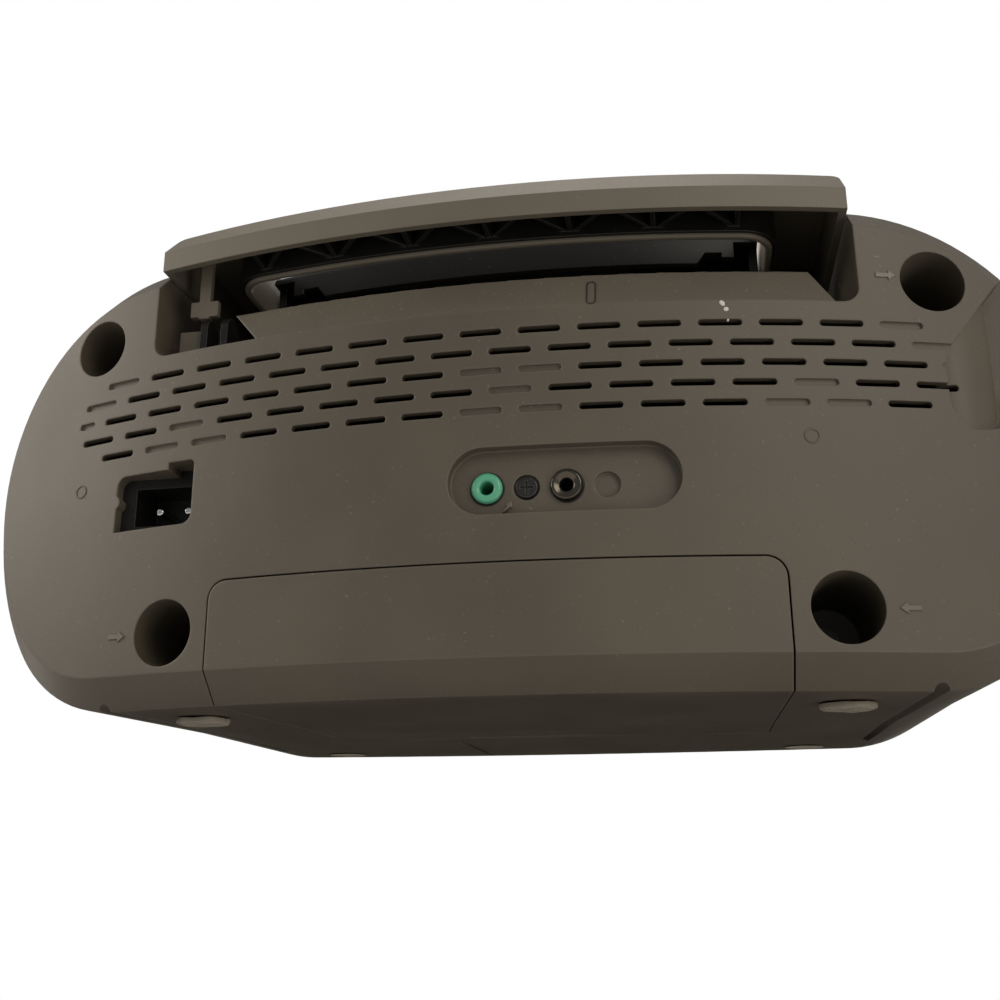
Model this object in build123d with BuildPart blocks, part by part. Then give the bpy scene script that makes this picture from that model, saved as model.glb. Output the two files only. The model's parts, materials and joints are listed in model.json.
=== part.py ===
from build123d import *
import math
import os

# A portable CD player with two speakers and a radio, seen best from behind.
# The frame: +X is to the left of someone who looks at the back, +Y points out of the back,
# +Z is up, and the origin lies on the table under the middle of the cabinet. Millimetres.

# Driving sizes of the cabinet
cabinet_width = 320
cabinet_depth = 215
cabinet_top = 133
foot_height = 2.5
wall = 2.5
rear_radius = 388.6
front_radius = 900
front_lean = 10
edge_band = 8.3
front_round = 12
front_drop = 2.6
drop_start_y = 0
upper_corner_radius = 62
upper_corner_sweep = 50
lower_corner_radius = 46
lower_corner_sweep = 55
seam_y = 30

# Raised deck with the disc well, and the lid
deck_height = 10
deck_side_gap = 0.8
deck_front_y = -73
deck_rear_inset = 37.5
deck_corner = 14
disc_centre_y = -4
well_radius = 61.5
well_wall = 2
well_floor_drop = 1.5
lid_rim = 3
lid_thickness = 3.6
lid_wall = 2
lid_gap = 0.4
lid_hinge_y = 58
lid_hinge_drop = 1.5
lid_ear_radius = 2.7
lid_pin_radius = 1
lid_pin_length = 9
lid_ear_x = 25
lid_ear_width = 5
lid_lug_x = 31
lid_lug_width = 4
pin_clearance = 0.05
trough_half = 35
trough_reach = 6.5
trough_floor = 138
deck_edge_round = 2.5
window_outer = 53
window_inner = 25
window_edge = 6
window_lip = 1.5
window_gap = 0.1
window_drop = 0.2
step_x = 58
step_ramp = 2.5
step_height = 3.5
tab_x = 65.5
tab_width = 3.5
tab_height = 1.5
skirt_end_height = 7
step_reach = 8
lid_button_x = 56
lid_button_y = -57
lid_button_radius = 5
lid_button_skirt = 3

# Disc mechanism
turntable_radius = 15
turntable_lift = 1.4
hub_radius = 7.35
hub_height = 4.2
clamp_radius = 14
clamp_flange = 15.6
clamp_gap = 0.35
clamp_ledge = 0.6
clamp_flange_thickness = 0.9
clamp_lift = 0.5
spindle_radius = 1
pickup_start = 27
pickup_travel = 30
pickup_head = 8
pickup_length = 18
pickup_low_z = 123.5
pickup_top_z = 130.5
rod_radius = 1.5
rod_z = 127.5
rod_spread = 10
near_post_x = 12.5
far_post_x = 68.2
post_size = 3.6
chassis_z = 121
chassis_thickness = 2
chassis_low_x = -40
chassis_high_x = 71
chassis_width = 68
damper_radius = 4.5
damper_places = [(-34, -32), (-34, 24), (26, -33), (50, 24)]
motor_low_z = 110.5
spindle_motor_radius = 12
sled_motor_radius = 7
pinion_x = 42
pinion_y = -27
pinion_teeth = 12
pinion_pitch_radius = 6
pinion_height = 2.2
tooth_height = 1.05
tooth_root = 1.3
tooth_tip_width = 0.6
tooth_root_width = 1.6
lens_radius = 3
lens_height = 2.7
turntable_thickness = 2
pickup_width = 26
well_floor_gap = 0.3

# Handle
notch_half_width = 98.5
notch_floor = 102.2
notch_depth = 54
notch_corner = 4.5
sill_height = 11.2
sill_run = 5.2
sill_round = 1
sill_left = 64.6
sill_left_lean = 9.4
sill_right = -92
sill_right_lean = 6
handle_gap = 0.8
handle_underside = 129.7
strip_height = 6.3
bevel_size = 9.6
grip_width = 16
handle_skin = 2.2
lip_wall = 2
lip_drop = 1.2
lip_round = 0.9
arm_width = 20.7
arm_pivot_y = -8
arm_pivot_z = 137
arm_pin_radius = 2
arm_boss_radius = 7.2
arm_corner = 9
clip_x = 82.4
clip_prong = 2.1
clip_slot = 4.1
clip_height = 14
clip_inset = 12
clip_depth = 8
stop_x = 90.4
stop_width = 6.6
stop_height = 10.2
stop_inset = 8
stop_depth = 6
rib_count = 12
rib_pitch = 11.5
rib_thickness = 1.2
rib_set_in = 1.5
tongue_x = 86.9
tongue_inset = 9
tongue_width = 3.3
tongue_thickness = 2
tongue_flange = 8.4
tongue_flange_height = 4.8
tongue_flange_drop = 7.7
tongue_clearance = 0.4

# Vents
vent_pitch = 15.5
vent_row_pitch = 5.5
vent_length = 11.3
vent_height = 1.9
vent_centre_z = 85
blind_depth = 0.8

# Screw wells, in from the back
well_tube = 1.8
lower_well_radius = 9
lower_well_x = 88
lower_well_z = 21.5
upper_well_radius = 8.7
upper_well_x = 118.2
upper_well_z = 109.2
screw_well_depth = 62
cabinet_screw_radius = 1.7
cabinet_screw_length = 18

# Sockets
jack_z = 54
jack_screw_radius = 1.5
screw_clearance = 0.2
counterbore_depth = 1.2
jack_recess_x = -21
jack_recess_z = 55.3
jack_recess_length = 59
jack_recess_height = 17.7
jack_recess_depth = 3.5
headphone_x = -1.2
audio_in_x = -21.5
jack_screw_x = -11.3
dimple_x = -31.7
jack_bushing_radius = 4
jack_bore_radius = 1.8
jack_body = 13
jack_body_width = 9
counterbore_radius = 3.4
inlet_low_x = 81.6
inlet_high_x = 107.3
inlet_low_z = 51
inlet_high_z = 67.2
inlet_corner = 3
inlet_notch_width = 8.5
inlet_notch_height = 2
inlet_notch_corner = 1.5
inlet_boss_z = 59.8
inlet_boss_radius = 2.1
inlet_boss_offset = 1
inlet_body_depth = 22
inlet_cavity_width = 22
inlet_cavity_height = 11
inlet_cavity_z = 58.9
inlet_cavity_depth = 13
inlet_pin_spacing = 8.6
inlet_pin_radius = 1.2
inlet_pin_x = 92
inlet_pin_z = 57.8

# Groove along both bottom edges
edge_groove_x = 110
edge_groove_rear_y = 96
edge_groove_radius = 2
edge_groove_length = 160

# Battery door and its box
door_half_width = 74.1
door_top = 34
door_front_y = -24
door_corner = 5
door_gap = 0.5
box_wall = 2
box_clearance = 0.7
box_rear_y = 86
door_latch_x = 6.5
door_latch_length = 43
door_latch_width = 3.5
front_slot_x = 34
front_slot_y = -64
front_slot_length = 62
front_slot_width = 3
front_slot_depth = 1.2
contact_width = 30
contact_height = 22
contact_thickness = 0.4

# Boards, transformer, screws and feet
main_board_z = 44
main_board_half = 72
main_board_front = 8
main_board_rear = 84
board_post_places = [(x, y) for x in (-66, 66) for y in (16, 76)]
capacitor_radius = 5
capacitor_height = 14
jack_bore_length = 14
bushing_stand = 1
transformer_x = 93.5
transformer_y = -33
transformer_width = 31
transformer_depth = 30
transformer_height = 28
screw_head_height = 2.4
foot_x = 90
foot_rear_y = 63
foot_front_y = -77
foot_radius = 8

# Antenna, folded along the ledge in the -X side
ledge_wall_x = -134
ledge_floor = 91
ledge_front_y = -50
ledge_rear_y = 72
scoop_radius = 19
scoop_y = 92
scoop_z = 86
scoop_edge_x = -119
scoop_slant = 1.3
antenna_x = -145
antenna_y = 60
antenna_z = 105
antenna_tip_gap = 1.8
antenna_plug_radius = 2.8
antenna_tube_radius = 3.4
antenna_tube_wall = 0.4
antenna_tube_gap = 0.05
antenna_length = 92
antenna_plug_length = 5.5
antenna_stem_radius = 2.4
antenna_tip_radius = 3.2
antenna_tip_length = 5
fork_radius = 5
fork_height = 9.6
fork_pin_radius = 1.2
tongue_height = 4

# Front
speaker_x = 98
speaker_height = 66
grille_radius = 44
grille_gap = 0.3
grille_bar = 2.2
grille_slot = 2.2
speaker_set_back = 17
speaker_depth = 24
magnet_radius = 24
magnet_length = 13
display_width = 62
display_height = 24
display_centre = 67
button_row = 40
button_pitch = 17
button_width = 12
button_height = 8
button_gap = 0.35
button_stand = 1.4
knob_radius = 11
knob_stand = 10
knob_centre = 101
knob_x = 33
board_set_back = 13
board_thickness = 1.6
power_centre = 106
power_radius = 5
switch_centre = 88
switch_travel = 4

knob_shaft_radius = 3
switch_width = 8
switch_height = 4
lens_set_in = 0.3
flange_depth = 3.4
flange_thickness = 1.2
flange_extra = 1.2
stem_radius = 2
stem_end = 11.5
pot_radius = 8
pot_front = 6
switch_body_width = 18
switch_body_height = 8
knob_gap = 0.6
frame_flange_inner = 36
cone_outer = 34
cone_neck = 11
cone_depth = 17
paper = 0.8
grille_depth = 2.2
board_post_x = 43
board_low = 27
board_high = 117
post_radius = 2.6
screw_boss_radius = 5
screw_boss_front = 12
handle_pin_depth = 5

# Places that follow from the driving sizes
half_width = cabinet_width / 2
rear_y = cabinet_depth / 2
rear_axis_y = rear_y - rear_radius
lean = math.radians(front_lean)
foot_rise = front_round * ((1 + math.sin(lean)) / math.cos(lean) - 1)
front_foot_y = -cabinet_depth / 2 - foot_rise
deck_top = cabinet_top + deck_height
floor_top = foot_height + wall
far = cabinet_width
arm_outer_x = notch_half_width - handle_gap
arm_inner_x = arm_outer_x - arm_width
deck_half_width = arm_inner_x - deck_side_gap
lip_low_z = handle_underside - lip_drop
handle_top = handle_underside + strip_height + bevel_size
lid_hinge_z = deck_top - lid_hinge_drop
turntable_top = cabinet_top + turntable_lift
hub_top = turntable_top + hub_height
clamp_low_z = hub_top + clamp_lift
clamp_ledge_z = clamp_low_z + 1.2
clamp_flange_z = clamp_ledge_z + clamp_ledge + clamp_gap
screw_head_y = rear_y - screw_well_depth
well_floor_z = cabinet_top - well_floor_drop
os.makedirs("parts", exist_ok=True)


def finish(piece, name):
    piece.part.label = name
    export_step(piece.part, f"parts/{name}.step")
    print(name, len(piece.solids()), round(piece.part.volume))


def rear_at(x):
    """How far back the rear face lies at this x."""
    return rear_axis_y + math.sqrt(rear_radius**2 - x**2)


def corner_arcs(radius, sweep, drop):
    """Corner and side arcs of the outline: side radius and where the flat edge ends."""
    angle = math.radians(sweep)
    half_height = (cabinet_top - foot_height) / 2 + drop
    side_radius = (half_height - radius * (1 - math.cos(angle))) / math.cos(angle)
    flat = half_width - radius * math.sin(angle) - side_radius * (1 - math.sin(angle))
    return side_radius, flat, angle


def cabinet_outline(inset, drop):
    """The cabinet seen from behind, with its underside lowered by drop."""
    for radius, sweep, edge_z, up, lowered in (
        (upper_corner_radius, upper_corner_sweep, cabinet_top, 1, 0),
        (lower_corner_radius, lower_corner_sweep, foot_height - drop, -1, drop),
    ):
        side_radius, flat, angle = corner_arcs(radius, sweep, lowered)
        corner_z = edge_z - up * radius
        side_x = flat + (radius - side_radius) * math.sin(angle)
        side_z = corner_z + up * (radius - side_radius) * math.cos(angle)
        Line((0, edge_z - up * inset), (flat, edge_z - up * inset))
        CenterArc((flat, corner_z), radius - inset, up * 90, -up * sweep)
        CenterArc((side_x, side_z), side_radius - inset, up * (90 - sweep), -up * (90 - sweep))
    mirror(about=Plane.YZ)


def cabinet_block(inset, drop):
    """The cabinet's outer form, or the hollow in it when inset is the wall."""
    with BuildPart() as block:
        with BuildSketch(Plane.XZ.offset(-drop_start_y)):
            with BuildLine():
                cabinet_outline(inset, 0)
            make_face()
        extrude(amount=-cabinet_depth)
        with BuildSketch(Plane.XZ.offset(-drop_start_y)):
            with BuildLine():
                cabinet_outline(inset, 0)
            make_face()
        with BuildSketch(Plane.XZ.offset(rear_y + front_round)):
            with BuildLine():
                cabinet_outline(inset, drop)
            make_face()
        loft(ruled=True)
        with BuildSketch(Plane.XY.offset(-far)):
            with Locations((0, rear_axis_y)):
                Circle(rear_radius - inset)
        extrude(amount=2 * far, mode=Mode.INTERSECT)
        axis_y = front_foot_y + front_radius * math.cos(lean)
        axis_z = foot_height - front_radius * math.sin(lean)
        leaning = Plane((0, axis_y, axis_z), x_dir=(1, 0, 0), z_dir=(0, math.sin(lean), math.cos(lean)))
        with BuildSketch(leaning):
            Circle(front_radius - inset)
        extrude(amount=2 * far, both=True, mode=Mode.INTERSECT)
        across = block.edges().filter_by(lambda edge: edge.bounding_box().size.Y < rear_y / 2)
        rear_loop = across.filter_by(lambda edge: edge.center().Y > rear_y / 2)
        band = edge_band - (2 - math.sqrt(2)) * inset
        chamfer(rear_loop, band)
        across = block.edges().filter_by(lambda edge: edge.bounding_box().size.Y < rear_y / 2)
        front_loop = across.filter_by(lambda edge: edge.center().Y < -rear_y / 2)
        fillet(front_loop, front_round - inset)
    return block.part


outer_block = cabinet_block(0, front_drop)
inner_block = cabinet_block(wall, 0)


def rear_cylinder(inset):
    """Everything in front of a face that lies inset behind the cabinet's rear face."""
    with BuildPart() as cylinder:
        with BuildSketch(Plane.XY.offset(-far)):
            with Locations((0, rear_axis_y)):
                Circle(rear_radius - inset)
        extrude(amount=2 * far)
    return cylinder.part


def upright_box(low, high):
    """A box from its lowest to its highest corner."""
    with BuildPart() as box:
        with Locations([tuple((a + b) / 2 for a, b in zip(low, high))]):
            Box(*[b - a for a, b in zip(low, high)])
    return box.part


def notch_block(grow):
    """The hollow for the handle: behind the deck and along both of its sides."""
    with BuildPart() as notch:
        with BuildSketch(Plane.XZ.offset(-rear_y - wall)):
            with Locations((0, notch_floor - grow)):
                Rectangle(
                    2 * (notch_half_width + grow),
                    cabinet_top,
                    align=(Align.CENTER, Align.MIN),
                )
            low_corners = vertices().group_by(Axis.Y)[0]
            fillet(low_corners, notch_corner + grow)
        extrude(amount=notch_depth + wall + edge_band + grow)
        add(rear_cylinder(notch_depth + grow), mode=Mode.SUBTRACT)
    return notch.part


def arm_channel_block(grow):
    """The two slots in the cabinet's top that the handle's arms lie in."""
    channel_end = arm_pivot_y - (handle_top - arm_pivot_z) - 2 * handle_gap
    inner_x = deck_half_width
    with BuildPart() as channels:
        with BuildSketch(Plane.XY.offset(lip_low_z - handle_gap - grow)):
            for side in (1, -1):
                with Locations((side * inner_x, channel_end - grow)):
                    Rectangle(
                        notch_half_width + grow - inner_x,
                        rear_y - channel_end,
                        align=(Align.MIN if side > 0 else Align.MAX, Align.MIN),
                    )
        extrude(amount=cabinet_top)
    return channels.part


def antenna_stem_hole():
    with BuildPart() as hole:
        with BuildSketch(Plane.YZ.offset(ledge_wall_x - 1)):
            with Locations((antenna_y, antenna_z)):
                Circle(antenna_stem_radius + pin_clearance)
        extrude(amount=wall + 2)
    return hole.part


def antenna_recess(grow):
    """The hollow behind the ledge, whose inner edge is rounded into the rear face."""
    edge_x = scoop_edge_x + grow
    low_z = scoop_z - scoop_radius - grow
    slant_rise = scoop_slant * (far + scoop_edge_x)
    with BuildPart() as recess:
        with BuildSketch():
            with Locations((edge_x, ledge_rear_y)):
                Rectangle(far, far, align=(Align.MAX, Align.MIN))
            with Locations((scoop_edge_x, ledge_rear_y)):
                Circle(scoop_edge_x - ledge_wall_x - grow, mode=Mode.SUBTRACT)
            with Locations((ledge_wall_x + grow, ledge_rear_y)):
                Rectangle(far, 2 * wall, align=(Align.MAX, Align.CENTER))
        extrude(amount=far)
        with BuildSketch(Plane.YZ.offset(-far)):
            with Locations((scoop_y, scoop_z)):
                Circle(scoop_radius + grow)
            with Locations((scoop_y - scoop_radius - grow, scoop_z)):
                Rectangle(far, far, align=(Align.MIN, Align.MIN))
            with Locations((scoop_y, low_z)):
                Rectangle(far, far, align=(Align.MIN, Align.MIN))
        extrude(amount=far, mode=Mode.INTERSECT)
        with BuildSketch(Plane.XZ.offset(-far)):
            with BuildLine():
                Polyline(
                    (edge_x, low_z),
                    (edge_x, scoop_z + wall + grow),
                    (-far, scoop_z + wall + grow + slant_rise),
                    (-far, low_z),
                    close=True,
                )
            make_face()
            fillet(vertices().group_by(Axis.X)[-1], scoop_radius / 2)
        extrude(amount=far, mode=Mode.INTERSECT)
    return recess.part


def antenna_space(grow):
    """The ledge along the -X side, the step for the tip in front and the recess behind."""
    groove = antenna_tube_radius + antenna_tip_gap + grow
    with BuildPart() as space:
        add(
            upright_box(
                (-far, ledge_front_y - grow, ledge_floor - grow),
                (ledge_wall_x + grow, ledge_rear_y + grow, far),
            )
        )
        add(upright_box((-far, -far, antenna_z - groove), (antenna_x + groove, ledge_front_y, far)))
        add(antenna_recess(grow))
    return space.part


def vent_places():
    """Centre of each vent slot in five staggered rows, with its length and if it is blind."""
    blind = {(0, 0), (0, 14), (1, 0), (1, 15), (2, 7), (2, 8), (3, 2), (3, 8), (3, 13)}
    blind |= {(4, 1), (4, 2), (4, 7), (4, 8), (4, 12), (4, 13)}
    places = []
    for row in range(5):
        count = 15 + row % 2
        for index in range(count):
            x = ((count - 1) / 2 - index) * vent_pitch
            z = vent_centre_z + (2 - row) * vent_row_pitch
            places.append((x, z, vent_length, (row, index) in blind))
    for side in (1, -1):
        places.append((side * 7.8 * vent_pitch, vent_centre_z, vent_length / 2, True))
    return places


def vent_slots(blind):
    with BuildPart() as slots:
        with BuildSketch(Plane.XZ.offset(-rear_y - wall)):
            for x, z, length, is_blind in vent_places():
                if is_blind == blind:
                    with Locations((x, z)):
                        SlotOverall(length, vent_height)
        extrude(amount=30)
        if blind:
            add(rear_cylinder(blind_depth), mode=Mode.SUBTRACT)
    return slots.part


def jack_recess(depth, grow):
    with BuildPart() as recess:
        with BuildSketch(Plane.XZ.offset(-rear_y - wall)):
            with Locations((jack_recess_x, jack_recess_z)):
                SlotOverall(jack_recess_length + 2 * grow, jack_recess_height + 2 * grow)
        extrude(amount=25)
        add(rear_cylinder(depth), mode=Mode.SUBTRACT)
    return recess.part


screw_places = []
for side in (1, -1):
    screw_places.append((side * lower_well_x, lower_well_z, lower_well_radius))
    screw_places.append((side * upper_well_x, upper_well_z, upper_well_radius))


def door_prism(gap):
    """The battery door's space: its height at the back and its long flange below."""
    with BuildPart() as prism:
        with BuildSketch(Plane.XZ.offset(-rear_y - wall)):
            with Locations((0, 0)):
                Rectangle(
                    2 * (door_half_width + gap),
                    door_top + gap,
                    align=(Align.CENTER, Align.MIN),
                )
            fillet(vertices().group_by(Axis.Y)[-1], door_corner + gap)
        extrude(amount=rear_y + wall - door_front_y + gap)
    return prism.part


def leaning_cylinder(inset):
    """Everything behind a face that lies inset inside the cabinet's front face."""
    axis_y = front_foot_y + front_radius * math.cos(lean)
    axis_z = foot_height - front_radius * math.sin(lean)
    axis = Plane((0, axis_y, axis_z), x_dir=(1, 0, 0), z_dir=(0, math.sin(lean), math.cos(lean)))
    with BuildPart() as cylinder:
        with BuildSketch(axis):
            Circle(front_radius - inset)
        extrude(amount=2 * far, both=True)
    return cylinder.part


def face_plane(depth, x=0, height=0):
    """A plane parallel to the leaning front, this deep behind it, facing out."""
    y = front_foot_y + depth * math.cos(lean) + height * math.sin(lean)
    z = foot_height - depth * math.sin(lean) + height * math.cos(lean)
    return Plane((x, y, z), x_dir=(1, 0, 0), z_dir=(0, -math.cos(lean), math.sin(lean)))


def deck_outline(inset):
    """The raised deck's outline, with its back edge parallel to the cabinet's rear face."""
    with BuildSketch() as outline:
        with Locations((0, deck_front_y + inset)):
            Rectangle(
                2 * (deck_half_width - inset),
                cabinet_depth,
                align=(Align.CENTER, Align.MIN),
            )
        fillet(outline.vertices().group_by(Axis.Y)[0], deck_corner - inset)
        with Locations((0, rear_axis_y)):
            Circle(rear_radius - deck_rear_inset - inset, mode=Mode.INTERSECT)
    return outline.sketch


def deck_opening():
    """The cabinet's top is open under the deck, up to the wall of the handle's notch."""
    with BuildPart() as opening:
        with BuildSketch(Plane.XY.offset(cabinet_top - 3 * wall)):
            add(deck_outline(2 * wall))
            with Locations((0, rear_axis_y)):
                Circle(rear_radius - notch_depth - wall, mode=Mode.INTERSECT)
        extrude(amount=4 * wall)
    return opening.part


screw_boss_end = screw_head_y - wall
inlet_face_y = rear_at(inlet_high_x + wall) - wall - lid_gap
inlet_middle_x = (inlet_low_x + inlet_high_x) / 2
inlet_middle_z = (inlet_low_z + inlet_high_z) / 2


def inlet_opening():
    """The mains inlet's opening, with a raised corner and a screw boss at one side."""
    with BuildSketch() as opening:
        with Locations((inlet_middle_x, inlet_middle_z)):
            Rectangle(inlet_high_x - inlet_low_x, inlet_high_z - inlet_low_z)
        corners = opening.vertices()
        round_ones = corners.filter_by(lambda v: (v.X > inlet_middle_x) == (v.Y > inlet_middle_z))
        fillet(round_ones, inlet_corner)
        with Locations((inlet_low_x + inlet_notch_width / 2, inlet_high_z)):
            Rectangle(inlet_notch_width, 2 * inlet_notch_height)
        fillet(opening.vertices().group_by(Axis.Y)[-1].sort_by(Axis.X)[0], inlet_notch_corner)
        with Locations((inlet_high_x + inlet_boss_offset, inlet_boss_z)):
            Circle(inlet_boss_radius, mode=Mode.SUBTRACT)
    return opening.sketch


def shell_cuts():
    """Hollows that reach across the seam of the two cabinet halves."""
    with BuildPart() as cuts:
        add(arm_channel_block(0))
        add(antenna_space(0))
        add(antenna_stem_hole())
        add(deck_opening())
        add(door_prism(door_gap))
        with BuildSketch(Plane.XY.offset(well_floor_z)):
            with Locations((0, disc_centre_y)):
                Circle(well_radius + well_wall + grille_gap)
        extrude(amount=deck_height)
        for side in (1, -1):
            with Locations((side * edge_groove_x, edge_groove_rear_y, foot_height)):
                Sphere(edge_groove_radius)
            with Locations(Location((side * edge_groove_x, edge_groove_rear_y, foot_height), (90, 0, 0))):
                Cylinder(
                    edge_groove_radius,
                    edge_groove_length,
                    align=(Align.CENTER, Align.CENTER, Align.MIN),
                )
    return cuts.part


across_seam = shell_cuts()

# Rear cabinet: the back half of the casing, with every socket and well in it
with BuildPart() as liners:
    add(notch_block(wall))
    add(arm_channel_block(wall))
    add(antenna_space(wall))
    add(jack_recess(jack_recess_depth + wall, wall))
    with BuildSketch(Plane.XZ.offset(-rear_y - wall)):
        for x, z, radius in screw_places:
            with Locations((x, z)):
                Circle(radius + well_tube)
    extrude(amount=screw_well_depth + 2 * wall)
    with BuildSketch(Plane.XZ.offset(-inlet_face_y)):
        with Locations((inlet_middle_x, inlet_middle_z)):
            Rectangle(
                inlet_high_x - inlet_low_x + 2 * wall,
                inlet_high_z - inlet_low_z + 2 * (wall + inlet_notch_height),
            )
    extrude(amount=-far)
    add(outer_block, mode=Mode.INTERSECT)

with BuildPart() as rear_hollows:
    add(notch_block(0))
    add(across_seam)
    add(jack_recess(jack_recess_depth, 0))
    add(vent_slots(False))
    add(vent_slots(True))
    with BuildSketch(Plane.XZ.offset(-rear_y - wall)):
        for x, z, radius in screw_places:
            with Locations((x, z)):
                Circle(radius)
    extrude(amount=screw_well_depth + wall)
    with BuildSketch(Plane.XZ.offset(-rear_y)):
        for x, z, radius in screw_places:
            with Locations((x, z)):
                Circle(cabinet_screw_radius + screw_clearance)
        for x, radius in (
            (headphone_x, jack_bushing_radius + screw_clearance),
            (audio_in_x, jack_bushing_radius + screw_clearance),
            (jack_screw_x, jack_screw_radius + screw_clearance),
        ):
            with Locations((x, jack_z)):
                Circle(radius)
        add(inlet_opening())
    extrude(amount=rear_y - seam_y)
    with BuildPart(mode=Mode.PRIVATE) as sinks:
        with BuildSketch(Plane.XZ.offset(-rear_y)):
            with Locations((jack_screw_x, jack_z), (dimple_x, jack_z)):
                Circle(counterbore_radius)
        extrude(amount=2 * jack_recess_depth)
        add(rear_cylinder(jack_recess_depth + counterbore_depth), mode=Mode.SUBTRACT)
    add(sinks.part)

with BuildPart() as sill:
    with BuildSketch(Plane.YZ):
        with BuildLine():
            Polyline(
                (rear_y, notch_floor - wall),
                (rear_y, notch_floor),
                (rear_y - sill_run, notch_floor + sill_height),
                (rear_y - sill_run - wall, notch_floor + sill_height),
                (rear_y - wall, notch_floor),
                (rear_y - wall, notch_floor - wall),
                close=True,
            )
        make_face()
    revolve(axis=Axis((0, rear_axis_y, 0), (0, 0, 1)), revolution_arc=360)
    with BuildSketch(Plane.XZ.offset(-far)):
        with BuildLine():
            Polyline(
                (sill_right, 0),
                (sill_right, notch_floor),
                (sill_right + sill_right_lean, notch_floor + sill_height),
                (sill_right + sill_right_lean, cabinet_top),
                (sill_left + sill_left_lean, cabinet_top),
                (sill_left + sill_left_lean, notch_floor + sill_height),
                (sill_left, notch_floor),
                (sill_left, 0),
                close=True,
            )
        make_face()
    extrude(amount=far, mode=Mode.INTERSECT)
    crest = edges().filter_by(GeomType.CIRCLE).group_by(Axis.Z)[-1]
    fillet(crest.sort_by(Edge.radius)[-1], sill_round)

stop_y = rear_at(stop_x) - stop_inset
with BuildPart() as rear_cabinet:
    add(outer_block)
    add(inner_block, mode=Mode.SUBTRACT)
    add(liners.part)
    add(rear_hollows.part, mode=Mode.SUBTRACT)
    add(sill.part)
    add(
        upright_box(
            (stop_x - stop_width / 2, stop_y - stop_depth, notch_floor - wall),
            (stop_x + stop_width / 2, stop_y, notch_floor + stop_height),
        )
    )
    split(bisect_by=Plane.XZ.offset(-seam_y), keep=Keep.BOTTOM)
finish(rear_cabinet, "rear_cabinet")

# Front cabinet: the front half, with the speaker seats and the control openings
with BuildPart() as front_inserts:
    add(arm_channel_block(wall))
    add(antenna_space(wall))
    for side in (1, -1):
        with BuildSketch(face_plane(speaker_set_back, side * speaker_x, speaker_height)):
            Circle(grille_radius + wall)
            Circle(grille_radius - wall, mode=Mode.SUBTRACT)
        extrude(amount=far)
    for x in (-board_post_x, board_post_x):
        for height in (board_low + post_radius, board_high - post_radius):
            with BuildSketch(face_plane(board_set_back, x, height)):
                Circle(post_radius)
            extrude(amount=far)
    add(outer_block, mode=Mode.INTERSECT)
    split(bisect_by=Plane.XZ.offset(-seam_y), keep=Keep.TOP)
with BuildPart() as screw_bosses:
    for x, z, radius in screw_places:
        up = 1 if z > cabinet_top / 2 else -1
        with BuildSketch(Plane.XZ.offset(-screw_boss_end)):
            with Locations((x, z)):
                Circle(screw_boss_radius)
        extrude(amount=screw_boss_end - screw_boss_front)
        add(
            upright_box(
                (x - wall / 2, screw_boss_front, min(z, z + up * far)),
                (x + wall / 2, seam_y, max(z, z + up * far)),
            )
        )
    add(outer_block, mode=Mode.INTERSECT)

with BuildPart() as grille_seats:
    for side in (1, -1):
        with BuildSketch(face_plane(0, side * speaker_x, speaker_height)):
            Circle(grille_radius + grille_gap)
        extrude(amount=speaker_set_back, both=True)
    add(leaning_cylinder(grille_depth), mode=Mode.SUBTRACT)

with BuildPart() as front_hollows:
    add(across_seam)
    add(grille_seats.part)
    with BuildSketch():
        with Locations((front_slot_x, front_slot_y)):
            SlotOverall(front_slot_length, front_slot_width, rotation=90)
    extrude(amount=foot_height + front_slot_depth - front_drop / 2)
    for side in (1, -1):
        with BuildSketch(face_plane(0, side * speaker_x, speaker_height)):
            Circle(grille_radius - wall)
        extrude(amount=-speaker_set_back)
    with BuildSketch(face_plane(-front_round)):
        with Locations((0, display_centre)):
            RectangleRounded(display_width, display_height, 2)
        for index in range(4):
            with Locations(((index - 1.5) * button_pitch, button_row)):
                RectangleRounded(button_width + 2 * button_gap, button_height + 2 * button_gap, 2)
        with Locations((0, power_centre)):
            Circle(power_radius + button_gap)
        with Locations((-knob_x, knob_centre), (knob_x, knob_centre)):
            Circle(knob_shaft_radius + button_gap)
        with Locations((0, switch_centre)):
            Rectangle(switch_width + 2 * switch_travel + 2 * button_gap, switch_height + 2 * button_gap)
    extrude(amount=-front_round - 2 * wall)
    with BuildSketch(Plane.XZ.offset(-screw_boss_end)):
        for x, z, radius in screw_places:
            with Locations((x, z)):
                Circle(cabinet_screw_radius + 0.05)
    extrude(amount=cabinet_screw_length + 3)

with BuildPart() as front_cabinet:
    add(outer_block)
    add(inner_block, mode=Mode.SUBTRACT)
    split(bisect_by=Plane.XZ.offset(-seam_y), keep=Keep.TOP)
    add(front_inserts.part)
    add(screw_bosses.part)
    add(front_hollows.part, mode=Mode.SUBTRACT)
finish(front_cabinet, "front_cabinet")

# Top panel: the raised deck that closes the cabinet and carries the lid
trough_top = deck_top + wall
with BuildPart() as well_space:
    with BuildSketch(Plane.XY.offset(cabinet_top - deck_height)):
        with Locations((0, disc_centre_y)):
            Circle(well_radius)
    extrude(amount=3 * deck_height)

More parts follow.
